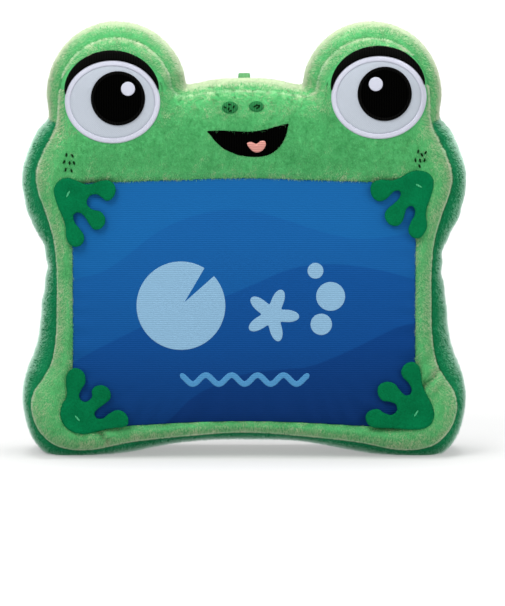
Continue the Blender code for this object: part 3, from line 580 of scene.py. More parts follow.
def surface_from(tree, shader, colour, height, strength, distance):
    """Colour and bumps of a shader."""
    bump = add(tree, "Bump", {"Strength": strength, "Distance": distance, "Height": height})
    fill_in(shader, {"Base Color": colour, "Normal": bump.outputs["Normal"]})


def cloth_material(name, dark, light, scale=900, roughness=0.9, sheen=0.3, strength=0.6,
                   distance=0.0004):
    """Napped or felted cloth: mottled colour and a fine matted surface."""
    material, tree, shader = shader_of(name, roughness, sheen, light, 0.4, 0.04)
    place = add(tree, "TexCoord").outputs["Object"]
    fine = noise(tree, place, scale, 4)
    coarse = noise(tree, place, scale / 12, 2)
    mottle = calculate(tree, "MULTIPLY_ADD", coarse, 0.4, calculate(tree, "MULTIPLY", fine, 0.6))
    colour = ramp(tree, mottle, ((0.30, dark), (0.68, light)))
    surface_from(tree, shader, colour, fine, strength, distance)
    return material


def stripe(tree, place, direction, scale, distortion):
    """Even bands between 0 and 1."""
    return add(tree, "TexWave", {"Scale": scale, "Distortion": distortion, "Detail": 1.0,
                                 "Vector": place}, bands_direction=direction).outputs["Fac"]


def thread_material(name, dark, light, direction="X", scale=330, roughness=0.45,
                    specular=0.3):
    """Satin-stitched thread: fine parallel strands with a soft shine."""
    material, tree, shader = shader_of(name, roughness, specular=specular)
    place = add(tree, "TexCoord").outputs["Object"]
    strands = stripe(tree, place, direction, scale, 1.2)
    colour = ramp(tree, strands, ((0.0, dark), (0.75, light)))
    surface_from(tree, shader, colour, strands, 0.35, 0.00025)
    return material


WAVE_END = 80              # the printed waves run this far to each side
WAVE_EDGE = 0.0004         # softness of a printed edge, in metres

# Crests of the printed waves, (x, z) in millimetres
FIRST_WAVE = ((-80, 74.0), (-72.0, 77.3), (-61.8, 80.0), (-50.0, 87.5), (-39.3, 96.0),
              (-28.6, 101.9), (-16.9, 105.7), (-7.3, 107.1), (3.4, 106.6), (16.2, 103.3),
              (26.9, 99.8), (37.6, 96.6), (48.3, 94.7), (59.0, 95.2), (72.9, 97.6), (80, 99.5))
SECOND_WAVE = ((-80, 36.0), (-71.4, 42.4), (-59.7, 48.9), (-50.0, 53.8), (-40.4, 58.6),
               (-27, 63.6), (-12, 68.5), (5.5, 75.7), (16.2, 80.5), (26.9, 83.2), (39.8, 83.7),
               (50.5, 82.6), (61.2, 80.5), (72.9, 77.3), (80, 75.5))
THIRD_WAVE = ((-80, 2.0), (-45, 10.0), (-33, 16.1), (-22.3, 26.2), (-11.6, 32.1), (0, 36.5),
              (16.2, 38.6), (26.9, 39.6), (37.6, 43.4), (47.2, 47.7), (57.9, 53.0),
              (67.6, 57.3), (73.5, 58.4), (80, 58.9))


def print_material():
    """Smooth knit printed with three waves of blue water, and painted shade darkening it towards
    the bottom.
    """
    material, tree, shader = shader_of("printed_knit", 0.7, specular=0.06)
    place = add(tree, "TexCoord").outputs["Object"]
    split = add(tree, "SeparateXYZ", {0: place})
    x, z = split.outputs["X"], split.outputs["Z"]
    span = 2 * WAVE_END

    def below(crest):
        """1 under a wave's crest and 0 over it: the crest is a curve through its points."""
        spots = [((across + WAVE_END) / span, height / span) for across, height in crest]
        curve = add(tree, "FloatCurve", {"Value": remap(tree, x, -WAVE_END * MM, WAVE_END * MM)})
        line = curve.mapping.curves[0]
        line.points[0].location = spots[0]
        line.points[1].location = spots[-1]
        for spot in spots[1:-1]:
            line.points.new(*spot)
        curve.mapping.update()
        height = calculate(tree, "MULTIPLY", curve.outputs["Value"], span * MM)
        return remap(tree, calculate(tree, "SUBTRACT", height, z), -WAVE_EDGE, WAVE_EDGE)

    colour = (0.0046, 0.090, 0.268, 1)
    for crest, tone in ((FIRST_WAVE, (0.0042, 0.079, 0.252, 1)),
                        (SECOND_WAVE, (0.0026, 0.061, 0.222, 1)),
                        (THIRD_WAVE, (0.0012, 0.044, 0.180, 1))):
        colour = add(tree, "Mix", {0: below(crest), 6: colour, 7: tone},
                     data_type="RGBA").outputs[2]
    # Painted shade: the knit darker towards the bottom of the window
    low = ramp(tree, remap(tree, z, 12 * MM, 96 * MM),
               ((0.0, (0.32, 0.40, 0.50)), (0.45, (0.66, 0.76, 0.83)), (1.0, (1, 1, 1))))
    ribs = stripe(tree, place, "Z", 380, 0.25)
    shade = ramp(tree, ribs, ((0.0, (0.78, 0.80, 0.84)), (0.7, (1, 1, 1))))
    colour = multiply(tree, multiply(tree, colour, low), shade)
    surface_from(tree, shader, colour, ribs, 0.3, 0.0002)
    return material


LIGHT = cloth_material("light_plush_ground", (0.04, 0.22, 0.07), (0.08, 0.38, 0.13))
DARK = cloth_material("dark_plush_ground", (0.002, 0.09, 0.03), (0.005, 0.18, 0.065))
# The pale ends of both piles' tones colour painted highlights
LIGHT_PILE = pile_material("light_plush_pile", (0.055, 0.42, 0.115), (0.125, 0.57, 0.19),
                           (0.52, 0.65, 0.38), 0.55, (1.0, 1.0, 0.88))
DARK_PILE = pile_material("dark_plush_pile", (0.0015, 0.22, 0.08), (0.02, 0.36, 0.15),
                          (0.33, 0.68, 0.46), 1.0, (0.8, 1.0, 0.9))
FELT = cloth_material("green_felt", (0.0001, 0.078, 0.025), (0.0006, 0.132, 0.044), 1500, 0.95,
                      0.02, 0.8, 0.0005)
PRINT = print_material()
PRINT_LIGHT = thread_material("light_blue_print", (0.15, 0.27, 0.38), (0.18, 0.32, 0.45), "Z",
                              380, 0.7, 0.06)
PRINT_MIDDLE = thread_material("middle_blue_print", (0.045, 0.17, 0.33), (0.055, 0.20, 0.38),
                               "Z", 380, 0.7, 0.06)
WHITE_THREAD = thread_material("white_thread", (0.37, 0.38, 0.45), (0.46, 0.47, 0.54), "Z", 900,
                               0.7, 0.08)
WHITE_CLOTH = thread_material("white_twill", (0.315, 0.345, 0.39), (0.35, 0.38, 0.425),
                              "DIAGONAL", 800, 0.85, 0.03)
BLACK_THREAD = thread_material("black_thread", (0.0004, 0.0004, 0.0004),
                               (0.0028, 0.0028, 0.0026), "X", 300, 0.85, 0.01)
BLACK_CLOTH = thread_material("black_fill_stitch", (0.0002, 0.0002, 0.0002),
                              (0.0010, 0.0010, 0.0009), "X", 300, 0.9, 0.0)
PINK_THREAD = thread_material("pink_thread", (0.36, 0.145, 0.12), (0.50, 0.22, 0.185), "Z", 330)
GREEN_THREAD = thread_material("dark_green_thread", (0.004, 0.06, 0.018), (0.022, 0.15, 0.045),
                               "X", 420, 0.8, 0.02)
FRECKLE_THREAD = thread_material("freckle_thread", (0.0005, 0.004, 0.001),
                                 (0.004, 0.022, 0.006), "X", 420, 0.8, 0.0)
TACK_THREAD = thread_material("tack_thread", (0.02, 0.22, 0.09), (0.05, 0.38, 0.17), "X", 420)
RIBBON = thread_material("green_ribbon", (0.05, 0.17, 0.06), (0.10, 0.27, 0.11), "X", 520, 0.8,
                         0.05)
LINING = cloth_material("green_lining", (0.006, 0.09, 0.04), (0.015, 0.15, 0.065), 2600, 0.8,
                        0.1, 0.4, 0.0002)
FILL = cloth_material("polyester_fill", (0.62, 0.62, 0.60), (0.9, 0.9, 0.88), 300, 0.95, 0.3,
                      1.0, 0.001)


# ------------------------------------------------------------------ plush skins
def front_rings():
    """Rings of the plush front, from the seam over the frame to the window's edge."""
    rings = inset_seam(0, 0.25, 0.6, 1.1, 1.8, 2.8, 4.0)
    inner = rings[-1]
    for share in (0.12, 0.25, 0.38, 0.5, 0.62, 0.73, 0.83, 0.91, 0.96, 1.0):
        rings.append(inner + (OPENING - inner) * share)
    return [with_depth(flat, front_depth(flat)) for flat in rings]


def covered(points, margin=0.35):
    """True where embroidery or felt lies on the plush, so that no pile grows there."""
    hidden = np.zeros(len(points), bool)
    for side, centre in EYES.items():
        rel = points - np.array(centre)
        radii = np.array(EYE_RADII) + margin
        hidden |= ((rel / radii) ** 2).sum(1) < 1
        above = rel[:, 1] > EYE_RADII[1] * math.sin(math.radians(EYELID_SPAN[0]))
        hidden |= above & (((rel / (radii + EYELID - 0.8)) ** 2).sum(1) < 1)
        x, z, half_width, half_height = NOSTRILS[side]
        rel = (points - (x, z)) / (half_width + 0.1, half_height + 0.1)
        hidden |= (rel ** 2).sum(1) < 1
    lips = np.array(MOUTH)
    hidden |= inside(lips, points) & (distance_to(lips, points) > 0.5)
    for _, _, outline in HANDS.values():
        hidden |= inside(np.array(outline), points)
    return hidden


def face_tone_with_painted_light(flat, seam):
    """Tone of the light pile with painted light: darker in mid-face, and painted highlights paler
    by the seam, the window's frame, brow, lids, cheeks, feet and round the mouth; soft random
    waves on top.
    """
    across, up = np.abs(flat[:, 0]), flat[:, 1]
    edge = np.exp(-(seam / 5) ** 2)
    frame = np.exp(-(np.minimum(seam, distance_to(OPENING, flat)) / 6) ** 2)
    brow = np.clip((up - 142) / 11, 0, 1) * np.clip((42 - across) / 8, 0, 1)
    from_dome = np.hypot(across - DOME_CENTRE[0], up - DOME_CENTRE[1])
    lid = np.clip((from_dome - 17) / 6, 0, 1) * np.clip((up - 146) / 14, 0, 1)
    cheek = np.clip((across - 50) / 34, 0, 1) * (up > 100)
    foot = np.clip((40 - up) / 20, 0, 1) * np.clip((across - 60) / 20, 0, 1)
    lips = np.exp(-(distance_to(np.array(MOUTH), flat) / 1.3) ** 2)
    # Painted highlights: the pile paler at the seam, frame, brow, lids, cheeks, feet and mouth
    tone = (0.19 + 0.30 * edge + 0.30 * frame + 0.48 * brow ** 1.4 + 0.24 * lid + 0.13 * cheek
            + 0.26 * foot + 0.16 * lips)
    tone = np.minimum(tone, 0.66 - 0.10 * brow) + 0.20 * waves(flat, 15, 8)
    return tone + 0.20 * waves(flat, 5, 18)


def make_front():
    """Front cloth with its window, and its pile in four pieces."""
    rings = front_rings()
    front = loft("front_plush", rings + inner_skin(rings, 1), LIGHT, hollow=True)
    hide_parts("front_panel")
    nod(front)
    places, normals = skin_samples(rings, FRONT_NAP, 21, -1)
    keep = ~covered(places[:, [0, 2]])
    places, normals = places[keep], normals[keep]
    flat = places[:, [0, 2]]
    up = flat[:, 1]
    seam = distance_to(SEAM, flat)
    tone = face_tone_with_painted_light(flat, seam)
    reach = seam + 6 * np.clip((up - 112) / 30, 0, 1)
    heights = (-np.inf, 50, 128, 147, np.inf)
    for index, name in enumerate(("frame", "sides", "face", "brow")):
        part = (up >= heights[index]) & (up < heights[index + 1])
        piece = pile("front_pile_" + name, places[part], normals[part], LIGHT_PILE, tone[part],
                     index + 31, near_seam=reach[part])
        nod(piece)


def make_screen():
    """Printed knit panel that fills the window."""
    rings = []
    for share in (1.0, 0.99, 0.975, 0.95, 0.92, 0.88, 0.83, 0.77, 0.7, 0.62, 0.53, 0.44, 0.35,
                  0.26, 0.17, 0.08):
        flat = WINDOW_MIDDLE + (OPENING - WINDOW_MIDDLE) * share * 1.004
        rings.append(with_depth(flat, screen_depth(flat)))
    back = [ring + (0, SCREEN_THICKNESS, 0) for ring in reversed(rings)]
    screen = loft("screen_knit", back + rings, PRINT)
    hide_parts("screen_panel")
    nod(screen)


def under_loop(places):
    """True at the root of the hanging loop, where the ribbon leaves no room for pile."""
    from_root = np.hypot(places[:, 1] - 20.0, places[:, 2] - 156.0)
    return (np.abs(places[:, 0]) < 4.6) & (from_root < 6.5)


def gusset_share(depth):
    """Share of the way from seam to rim that the gusset has swelled at a depth."""
    return (1 - np.abs(depth / 19.2) ** 3.0) ** (1 / 1.7)


def gusset_grid(first, last):
    """Outer surface of a length of gusset, as (rows, columns, 3), with soft folds."""
    index = np.arange(first * SMOOTH, last * SMOOTH + 1) % COUNT
    depths = np.linspace(-1, 1, 26)
    depths = np.sign(depths) * np.abs(depths) ** 0.85 * SEAM_BACK
    grid = []
    for depth in depths:
        share = gusset_share(depth)
        flat = SEAM[index] + (RIM[index] - SEAM[index]) * share
        row = np.stack([flat[:, 0], np.full(len(index), depth), flat[:, 1]], 1)
        waist = np.exp(-((flat[:, 1] - 84) / 24) ** 2)
        fold = waist * np.sin(flat[:, 1] * 0.62 + 0.05 * depth + np.sign(flat[:, 0]))
        swell = 0.35 * fold * share + 0.35 * share * waves(row, 30, 17)
        row[:, [0, 2]] += SEAM_NORMAL[index] * swell[:, None]
        row[:, 2] = np.maximum(row[:, 2], 0)
        grid.append(row)
    return np.stack(grid), SEAM_NORMAL[index]


def make_gusset(name, first, last, look, base_tone, painted_sheen):
    """Strip of gusset between two seam points: its cloth, and its pile in two halves."""
    ground, pile_look, slot, density = look
    grid, normals = gusset_grid(first, last)
    inner = grid.copy()
    inner[:, :, [0, 2]] -= normals[None] * SKIN
    inner[:, :, 2] = np.maximum(inner[:, :, 2], SKIN)
    made = [loft(name + "_cloth", [*grid, *inner[::-1]], ground, hollow=True, around=False)]
    places, ups = grid_samples(grid, density, abs(first) + 40)
    if (ups * (places - (0, 0, 80.0))).sum() < 0:
        ups = -ups
    if name == "bottom_gusset":
        keep = ~((np.abs(places[:, 0]) < 52.3) & (places[:, 1] > 5.6))
        places, ups = places[keep], ups[keep]
    across, depth, up = places.T
    # Painted light: the pile darker by the seams as painted shade, paler out on the swell as
    # painted sheen; soft random waves on top
    tone = base_tone + painted_sheen * gusset_share(depth) ** 1.2 + 0.10 * waves(places, 16, 9)
    nearest = SEAM_BACK - np.abs(depth)
    if name == "head_gusset":
        # Painted highlight: the pile paler across the top of the head
        top = np.clip((34 - np.abs(across)) / 8, 0, 1) * (up > 140)
        tone += top * np.maximum(0.60 + 0.22 * gusset_share(depth) - tone, 0)
        nearest = np.full(len(places), np.inf)
    for half, part in (("_left", across < 0), ("_right", across >= 0)):
        part &= ~under_loop(places)
        if part.any():
            made.append(pile(name + "_pile" + half, places[part], ups[part], pile_look,
                             tone[part], abs(first) + 60, 0.9, nearest[part]))
    return made


def make_gussets():
    """The strips between front and back: under the puppet, up its sides and over its head."""
    dark = (DARK, DARK_PILE, "dark_plush", SIDE_NAP)
    light = (LIGHT, LIGHT_PILE, "light_plush", CROWN_NAP)
    keys = COUNT // SMOOTH
    for name, first, last, look, base_tone, painted_sheen in (
            ("bottom_gusset", -SIDE_SEAM, SIDE_SEAM, dark, 0.12, 0.45),
            ("side_gusset_right", SIDE_SEAM, CHEEK_SEAM, dark, 0.10, 0.75),
            ("side_gusset_left", keys - CHEEK_SEAM, keys - SIDE_SEAM, dark, 0.10, 0.75),
            ("head_gusset", CHEEK_SEAM, keys - CHEEK_SEAM, light, 0.44, 0.36)):
        pieces = make_gusset(name, first, last, look, base_tone, painted_sheen)
        if name == "bottom_gusset":
            cut_out(pieces[0], (-52, 6, -10), (52, 80, 30))
            pieces[0].data.shade_smooth()
        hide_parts(name)
        for piece in pieces:
            if name == "bottom_gusset":
                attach(piece, "root")
            else:
                nod(piece)


def cut_out(obj, low, high):
    """Take a box away from a closed mesh."""
    low, high = np.array(low) * MM, np.array(high) * MM
    bpy.ops.mesh.primitive_cube_add(size=1, location=tuple((low + high) / 2))
    cutter = bpy.context.object
    cutter.scale = tuple(high - low)
    apply_cut(obj, cutter)


def apply_cut(obj, cutter):
    """Take a cutter away from a closed mesh, and then remove it."""
    modifier = obj.modifiers.new("cut", "BOOLEAN")
    modifier.operation = "DIFFERENCE"
    modifier.solver = "MANIFOLD"
    modifier.object = cutter
    depsgraph = bpy.context.evaluated_depsgraph_get()
    depsgraph.update()
    mesh = bpy.data.meshes.new_from_object(obj.evaluated_get(depsgraph))
    obj.modifiers.clear()
    old = obj.data
    obj.data = mesh
    bpy.data.meshes.remove(old)
    bpy.data.objects.remove(cutter, do_unlink=True)


def in_arch(points, grow):
    """True inside the pocket's mouth, widened all round."""
    half, height, centre = ARCH
    rel = points - (0, centre)
    return (rel[:, 0] / (half + grow)) ** 2 + (rel[:, 1] / (height + grow)) ** 2 < 1


def cut_arch(panel):
    """Open the pocket's mouth in the back."""
    half, height, centre = ARCH
    bpy.ops.mesh.primitive_cylinder_add(vertices=96, radius=1, depth=1)
    arch = bpy.context.object
    arch.scale = (half * MM, height * MM, 40 * MM)
    arch.rotation_euler = (math.radians(90), 0, 0)
    arch.location = (0, 30 * MM, centre * MM)
    apply_cut(panel, arch)


def make_back():
    """Dark back and light back of the head, cut from one surface at the neck."""
    rings = inset_seam(0, 0.3, 0.8, 1.5, 2.5, 4.0, 6.0)
    last = rings[-1]
    for share in (0.15, 0.35, 0.55, 0.75, 1.0):
        rings.append(last + (OPENING * (0.97, 1) - last) * share)
    window = rings[-1]
    for share in (0.85, 0.7, 0.55, 0.4, 0.25, 0.1, 0.015):
        rings.append(WINDOW_MIDDLE + (window - WINDOW_MIDDLE) * share)
    outer = [with_depth(flat, back_depth(flat)) for flat in rings]
    skin = [*inner_skin(outer, -1), *outer]
    places, normals = skin_samples(outer, BACK_NAP, 77, 1)
    flat = places[:, [0, 2]]
    # Painted highlight: the pile paler along the seam; soft random waves on top
    tone = 0.34 + 0.2 * np.exp(-(distance_to(SEAM, flat) / 5) ** 2) + 0.1 * waves(flat, 18, 4)
    body = (flat[:, 1] < NECK_HEIGHT) & ~in_arch(flat, 0.4)
    crown = flat[:, 1] >= NECK_HEIGHT
    looks = (("back_panel", "dark_plush", DARK, DARK_PILE, body, (NECK_HEIGHT, 300)),
             ("head_back_panel", "light_plush", LIGHT, LIGHT_PILE, crown, (-50, NECK_HEIGHT)))
    for name, slot, ground, look, part, (low, high) in looks:
        panel = loft(name + "_cloth", skin, ground)
        cut_out(panel, (-200, 0, low), (200, 90, high))
        if name == "back_panel":
            cut_arch(panel)
        panel.data.shade_smooth()
        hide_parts(name)
        made = [panel]
        for half, side in (("_left", flat[:, 0] < 0), ("_right", flat[:, 0] >= 0)):
            side &= part & ~under_loop(places)
            made.append(pile(name + "_pile" + half, places[side], normals[side], look,
                             tone[side], 91))
        for obj in made:
            nod(obj)


# ------------------------------------------------------------------ embroidery and felt
def ellipse(centre, radii, count=96):
    """Closed outline. One radius makes a circle."""
    angles = full_turn(count)
    return centre + np.stack([np.cos(angles), np.sin(angles)], 1) * radii


def line_lengths(points):
    """Distance along a line at each of its points."""
    return np.concatenate([[0], np.cumsum(np.linalg.norm(np.diff(points, axis=0), axis=1))])


def face_depth(points):
    """Depth that stitching lies at: the plush, pressed flat towards the domes' edges."""
    return np.minimum(front_depth(points), -25.2)


def patch(name, outline, surface, lift, material, crown=0.15, deep=1.2, trim=0.35):
    """Filled piece on a surface: upright edge, rounded corner, slightly crowned middle."""
    middle = outline.mean(0)
    normal = outward(outline)
    if (normal * (outline - middle)).sum() < 0:
        normal = -normal
    flat = middle + (outline - middle) * 0.05
    rings = [with_depth(flat, surface(flat) + deep)]
    for inset, height in ((0.0, -deep), (0.0, lift * 0.45), (trim / 3, lift * 0.8), (trim, lift)):
        flat = outline - normal * inset
        rings.append(with_depth(flat, surface(flat) - height))
    last = outline - normal * trim
    for share in (0.93, 0.84, 0.72, 0.58, 0.42, 0.26, 0.10):
        flat = middle + (last - middle) * share
        rise = lift + crown * (1 - share ** 2)
        rings.append(with_depth(flat, surface(flat) - rise))
    return loft(name, rings, material)


def band(name, one, two, surface, lift, material, closed=True, ridge=0.11):
    """Satin stitches side by side across a band between two matching lines."""
    along = line_lengths(one)
    total = along[-1] + (np.linalg.norm(one[0] - one[-1]) if closed else 0)
    turns = max(round(total / SATIN_PITCH), 1)
    beads = np.abs(np.sin(np.pi * turns * along / total))
    rows = []
    for share in np.linspace(0, 1, 9):
        flat = one + (two - one) * share
        arch = (1 - (2 * share - 1) ** 4) ** 0.5
        height = lift * arch + ridge * beads * (0.3 + 0.7 * arch)
        if not closed:
            height = height * np.clip(np.minimum(along, total - along) / 0.8, 0.05, 1) ** 0.5
        rows.append(with_depth(flat, surface(flat) - height))
    under = [with_depth(row[:, [0, 2]], surface(row[:, [0, 2]]) + 0.9) for row in rows[::-1]]
    return loft(name, rows + under, material, hollow=True, around=closed)


def resample(outline, count, closed=True):
    """Even points along an outline."""
    points = np.concatenate([outline, outline[:1]]) if closed else outline
    along = line_lengths(points)
    wanted = np.linspace(0, along[-1], count, endpoint=not closed)
    return np.stack([np.interp(wanted, along, axis) for axis in points.T], 1)


def on_face(obj, node):
    """The piece stands for its node, which is hidden, and its placement is baked into its mesh."""
    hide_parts(node)
    nod(obj)


def sew_patch(node, slot, outline, lift, material, *shape):
    """Patch on the face that stands for a node."""
    on_face(patch("sewn_" + node, outline, face_depth, lift, material, *shape), node)


def sew_band(node, slot, one, two, lift, material, **shape):
    """Satin band on the face that stands for a node."""
    on_face(band("sewn_" + node, one, two, face_depth, lift, material, **shape), node)


def make_eye(side):
    """White and pupil, each with a satin border, a highlight and an eyelid."""
    centre, outer = np.array(EYES[side]), np.array(EYE_RADII)
    inner = outer - EYE_BORDER
    sew_band("eye_border_" + side, "white_thread", ellipse(centre, outer, 1000),
             ellipse(centre, inner, 1000), 1.0, WHITE_THREAD)
    sew_patch("eye_white_" + side, "white_thread", ellipse(centre, inner + 0.3), 0.75,
              WHITE_CLOTH, 0.3)
    pupil = centre + PUPIL_OFFSET
    sew_band("pupil_border_" + side, "black_thread",
             ellipse(pupil, PUPIL_RADIUS + PUPIL_BORDER, 600),
             ellipse(pupil, PUPIL_RADIUS, 600), 1.75, BLACK_THREAD)
    sew_patch("pupil_" + side, "black_thread", ellipse(pupil, PUPIL_RADIUS + 0.3), 1.35,
              BLACK_CLOTH, 0.2, 0.4)
    sew_patch("eye_highlight_" + side, "white_thread",
              ellipse(pupil + HIGHLIGHT[side], HIGHLIGHT_RADIUS, 48), 1.95, WHITE_THREAD,
              0.1, 0.0)
    angles = np.radians(np.linspace(*EYELID_SPAN, 500))
    reach = 0.15 + EYELID * np.sin(np.pi * np.linspace(0, 1, 500)) ** 0.75
    ways = np.stack([np.cos(angles), np.sin(angles)], 1)
    sew_band("eyelid_" + side, "black_thread", centre + ways * (outer + reach[:, None]),
             centre + ways * (outer - 0.1), 1.35, BLACK_THREAD, closed=False, ridge=0.08)


def make_face():
    """Eyes, nostrils, freckles, mouth and tongue."""
    for side in ("left", "right"):
        make_eye(side)
        x, z, half_width, half_height = NOSTRILS[side]
        sew_patch("nostril_" + side, "dark_thread",
                  ellipse((x, z), (half_width, half_height), 48), 0.75, GREEN_THREAD, 0.1)
        dashes = [stitch(np.array((x, z)) + offset, way, (0.75, 0.4), face_depth, 1.05,
                         FRECKLE_THREAD) for offset, way in NOSTRIL_DASHES[side]]
        dashes = join("nostril_stitches_" + side, dashes, FRECKLE_THREAD)
        nod(dashes)
        make_freckles(side)
    sew_patch("mouth", "black_thread", resample(smooth(MOUTH, 10), 240), 0.7, BLACK_CLOTH, 0.2)
    sew_patch("tongue", "pink_thread", resample(smooth(TONGUE, 10), 120), 1.25, PINK_THREAD,
              0.25, 0.3)


def make_freckles(side):
    """Seven small stitches in a cluster."""
    centre, offsets = FRECKLES[side]
    stitches = []
    for offset, angle in zip(offsets, FRECKLE_ANGLES):
        lean = math.radians(angle)
        stitches.append(stitch(np.add(centre, offset), (math.cos(lean), math.sin(lean)),
                               (0.85, 0.42), face_depth, 0.9, FRECKLE_THREAD))
    on_face(join("sewn_freckles_" + side, stitches, FRECKLE_THREAD), "freckles_" + side)


def stitch(centre, way, radii, surface, lift, material):
    """One short stitch lying along way."""
    angles = full_turn(28)
    outline = (centre + np.outer(np.cos(angles), way) * radii[0]
               + np.outer(np.sin(angles), (-way[1], way[0])) * radii[1])
    return patch("stitch", outline, surface, lift, material, 0.12, 0.3, trim=0.12)


def felt_shape(name, outline, surface, thick, material):
    """Flat felt with a cut edge: outlines joined down the edge, top and bottom filled."""
    normal = outward(outline)
    beyond = np.roll(outline, -1, axis=0)
    if (outline[:, 0] * beyond[:, 1] - beyond[:, 0] * outline[:, 1]).sum() < 0:
        normal = -normal
    verts, faces, rings = [], [], []
    for inset, height in FELT_EDGE:
        flat = outline - normal * inset
        rings.append(range(len(verts), len(verts) + len(flat)))
        verts.extend(with_depth(flat, surface(flat) - thick * height))
    for one, two in zip(rings, rings[1:]):
        faces.extend((one[i - 1], one[i], two[i], two[i - 1]) for i in range(len(one)))
    for ring, (inset, height) in ((rings[0], FELT_EDGE[0]), (rings[-1], FELT_EDGE[-1])):
        edge = outline - normal * inset
        low, high = edge.min(0), edge.max(0)
        mesh_x, mesh_z = np.meshgrid(np.arange(low[0], high[0], FELT_GRID),
                                     np.arange(low[1], high[1], FELT_GRID))
        field = np.stack([mesh_x.ravel(), mesh_z.ravel()], 1)
        field = field[inside(edge, field)]
        field = field[distance_to(edge, field) > 0.6]
        points = [Vector(point) for point in (*edge, *field)]
        found = delaunay_2d_cdt(points, [], [list(range(len(edge)))], 1, 1e-7)
        first = len(verts)
        verts.extend(with_depth(field, surface(field) - thick * height))
        for triangle in found[2]:
            source = [found[3][corner][0] for corner in triangle]
            faces.append(tuple(ring[i] if i < len(edge) else first + i - len(edge)
                               for i in source))
    return fix_normals(link(name, verts, faces, material))


def make_hand(name, tack, keys):
    """Felt hand tacked on at its palm, its toes curling forwards."""
    tack = np.array(tack)

    def felt_depth(points):
        """Felt lies flat on the front, pulled in at the tack, its toes curling forwards."""
        reach = np.linalg.norm(points - tack, axis=1)
        pull = TACK_PULL * np.exp(-(reach / 3.0) ** 2)
        curl = TOE_CURL * np.clip((reach - 8) / 14, 0, 1) ** 1.6
        return FELT_FRONT + pull - curl + 0.14 * waves(points, 11, 14)

    draw = np.random.default_rng(5)
    outline = resample(smooth(keys, 8), 300)
    outline = outline + outward(outline) * draw.normal(scale=0.04, size=(len(outline), 1))
    felt = felt_shape("felt_hand_" + name, outline, felt_depth, FELT_THICKNESS, FELT)
    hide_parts("hand_palm_" + name, "hand_toes_" + name)
    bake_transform(felt)
    lean = math.radians(TACK_ANGLES[name])
    tack_stitch = stitch(tack, (math.cos(lean), math.sin(lean)), (1.5, 0.38),
                         lambda flat: felt_depth(flat) - 1.4, 0.35, TACK_THREAD)
    tack_stitch.name = "tack_stitch_" + name
    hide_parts("tack_" + name)
    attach(tack_stitch, "root")


def join(name, objects, material):
    """One piece from several."""
    bm = bmesh.new()
    for obj in objects:
        bm.from_mesh(obj.data)
        bpy.data.objects.remove(obj, do_unlink=True)
    mesh = bpy.data.meshes.new(name)
    bm.to_mesh(mesh)
    bm.free()
    mesh.shade_smooth()
    return show(name, mesh, material)


# ------------------------------------------------------------------ print, pocket and loop
def make_print():
    """Plain printed shapes on the panel: a lily pad, a flower, three bubbles and a ripple."""
    angles = np.radians(np.linspace(58, 402, 90))
    pad = np.stack([-27 + 19 * np.cos(angles), 66 + 19 * np.sin(angles)], 1)
    angles = full_turn(200)
    petals = 8.2 + 3.4 * np.cos(5 * angles + 0.3)
    flower = np.stack([12 + petals * np.cos(angles), 62 + petals * np.sin(angles)], 1)
    bubbles = (ellipse((33, 58), 4.6, 64), ellipse((37, 70), 6.2, 64),
               ellipse((30.5, 81), 3.4, 64))
    shapes = (np.concatenate([pad, [(-25.5, 67.5)]]), flower, *bubbles)
    for index, outline in enumerate(shapes, 1):
        obj = patch(f"print_shape_{index}", outline, screen_depth, 0.10, PRINT_LIGHT, 0.0, 0.3)
        nod(obj)
    x = np.linspace(-27.5, 28.0, 300)
    middle = np.stack([x, 34.2 + 1.9 * np.cos((x + 27.5) * 2 * math.pi / 11.1)], 1)
    along = unit(np.gradient(middle, axis=0))
    side = np.stack([-along[:, 1], along[:, 0]], 1)
    taper = np.clip(np.minimum(x + 27.5, 28.0 - x) / 1.3, 0, 1)
    half = 1.25 * np.sqrt(np.maximum(1 - (1 - taper) ** 2, 0.02))[:, None]
    ripple = band("print_ripple", middle + side * half, middle - side * half, screen_depth, 0.10,
                  PRINT_MIDDLE, closed=False, ridge=0.0)
    nod(ripple)


def tube(name, path, radius, material, count=16):
    """Closed tube round a closed path."""
    ahead = unit(np.roll(path, -1, axis=0) - np.roll(path, 1, axis=0))
    up = unit(np.array((0.0, 0.0, 1.0)) - ahead * ahead[:, 2:3])
    side = np.cross(ahead, up)
    rings = [path + radius * (math.cos(angle) * side + math.sin(angle) * up)
             for angle in full_turn(count)]
    return loft(name, rings, material, hollow=True)


def make_binding():
    """Bound hem: along the front of the mouth, up its corners and over the arch behind."""
    half, height, centre = ARCH
    front = RIM[(np.abs(RIM[:, 0]) < 50) & (RIM[:, 1] < 20)]
    front = front[np.argsort(front[:, 0])]
    near = np.stack([front[:, 0], np.full(len(front), 7.4), front[:, 1] + 0.9], 1)
    angles = np.radians(np.linspace(12, 168, 60))
    arch = np.stack([(half - 1.6) * np.cos(angles), centre + (height - 1.6) * np.sin(angles)], 1)
    arch = with_depth(arch, back_depth(arch) - 1.0)
    right = np.array([(50.6, 12, 3.2), (50.3, 18, 4.6), (48.8, 23, 6.4)])
    path = np.concatenate([near, right, arch, (right * (-1, 1, 1))[::-1]])
    length = line_lengths(np.concatenate([path, path[:1]]))[-1]
    path = resample(path, 400)
    for _ in range(12):
        path = (np.roll(path, 1, axis=0) + 2 * path + np.roll(path, -1, axis=0)) / 4
    stitches = np.linspace(0, length, 400, endpoint=False) * 2 * math.pi / 3.1
    radius = 1.35 + 0.10 * np.sin(stitches)
    binding = tube("pocket_binding", path, radius[:, None], RIBBON)
    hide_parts("pocket_binding_front", "pocket_binding_back")
    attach(binding, "root")


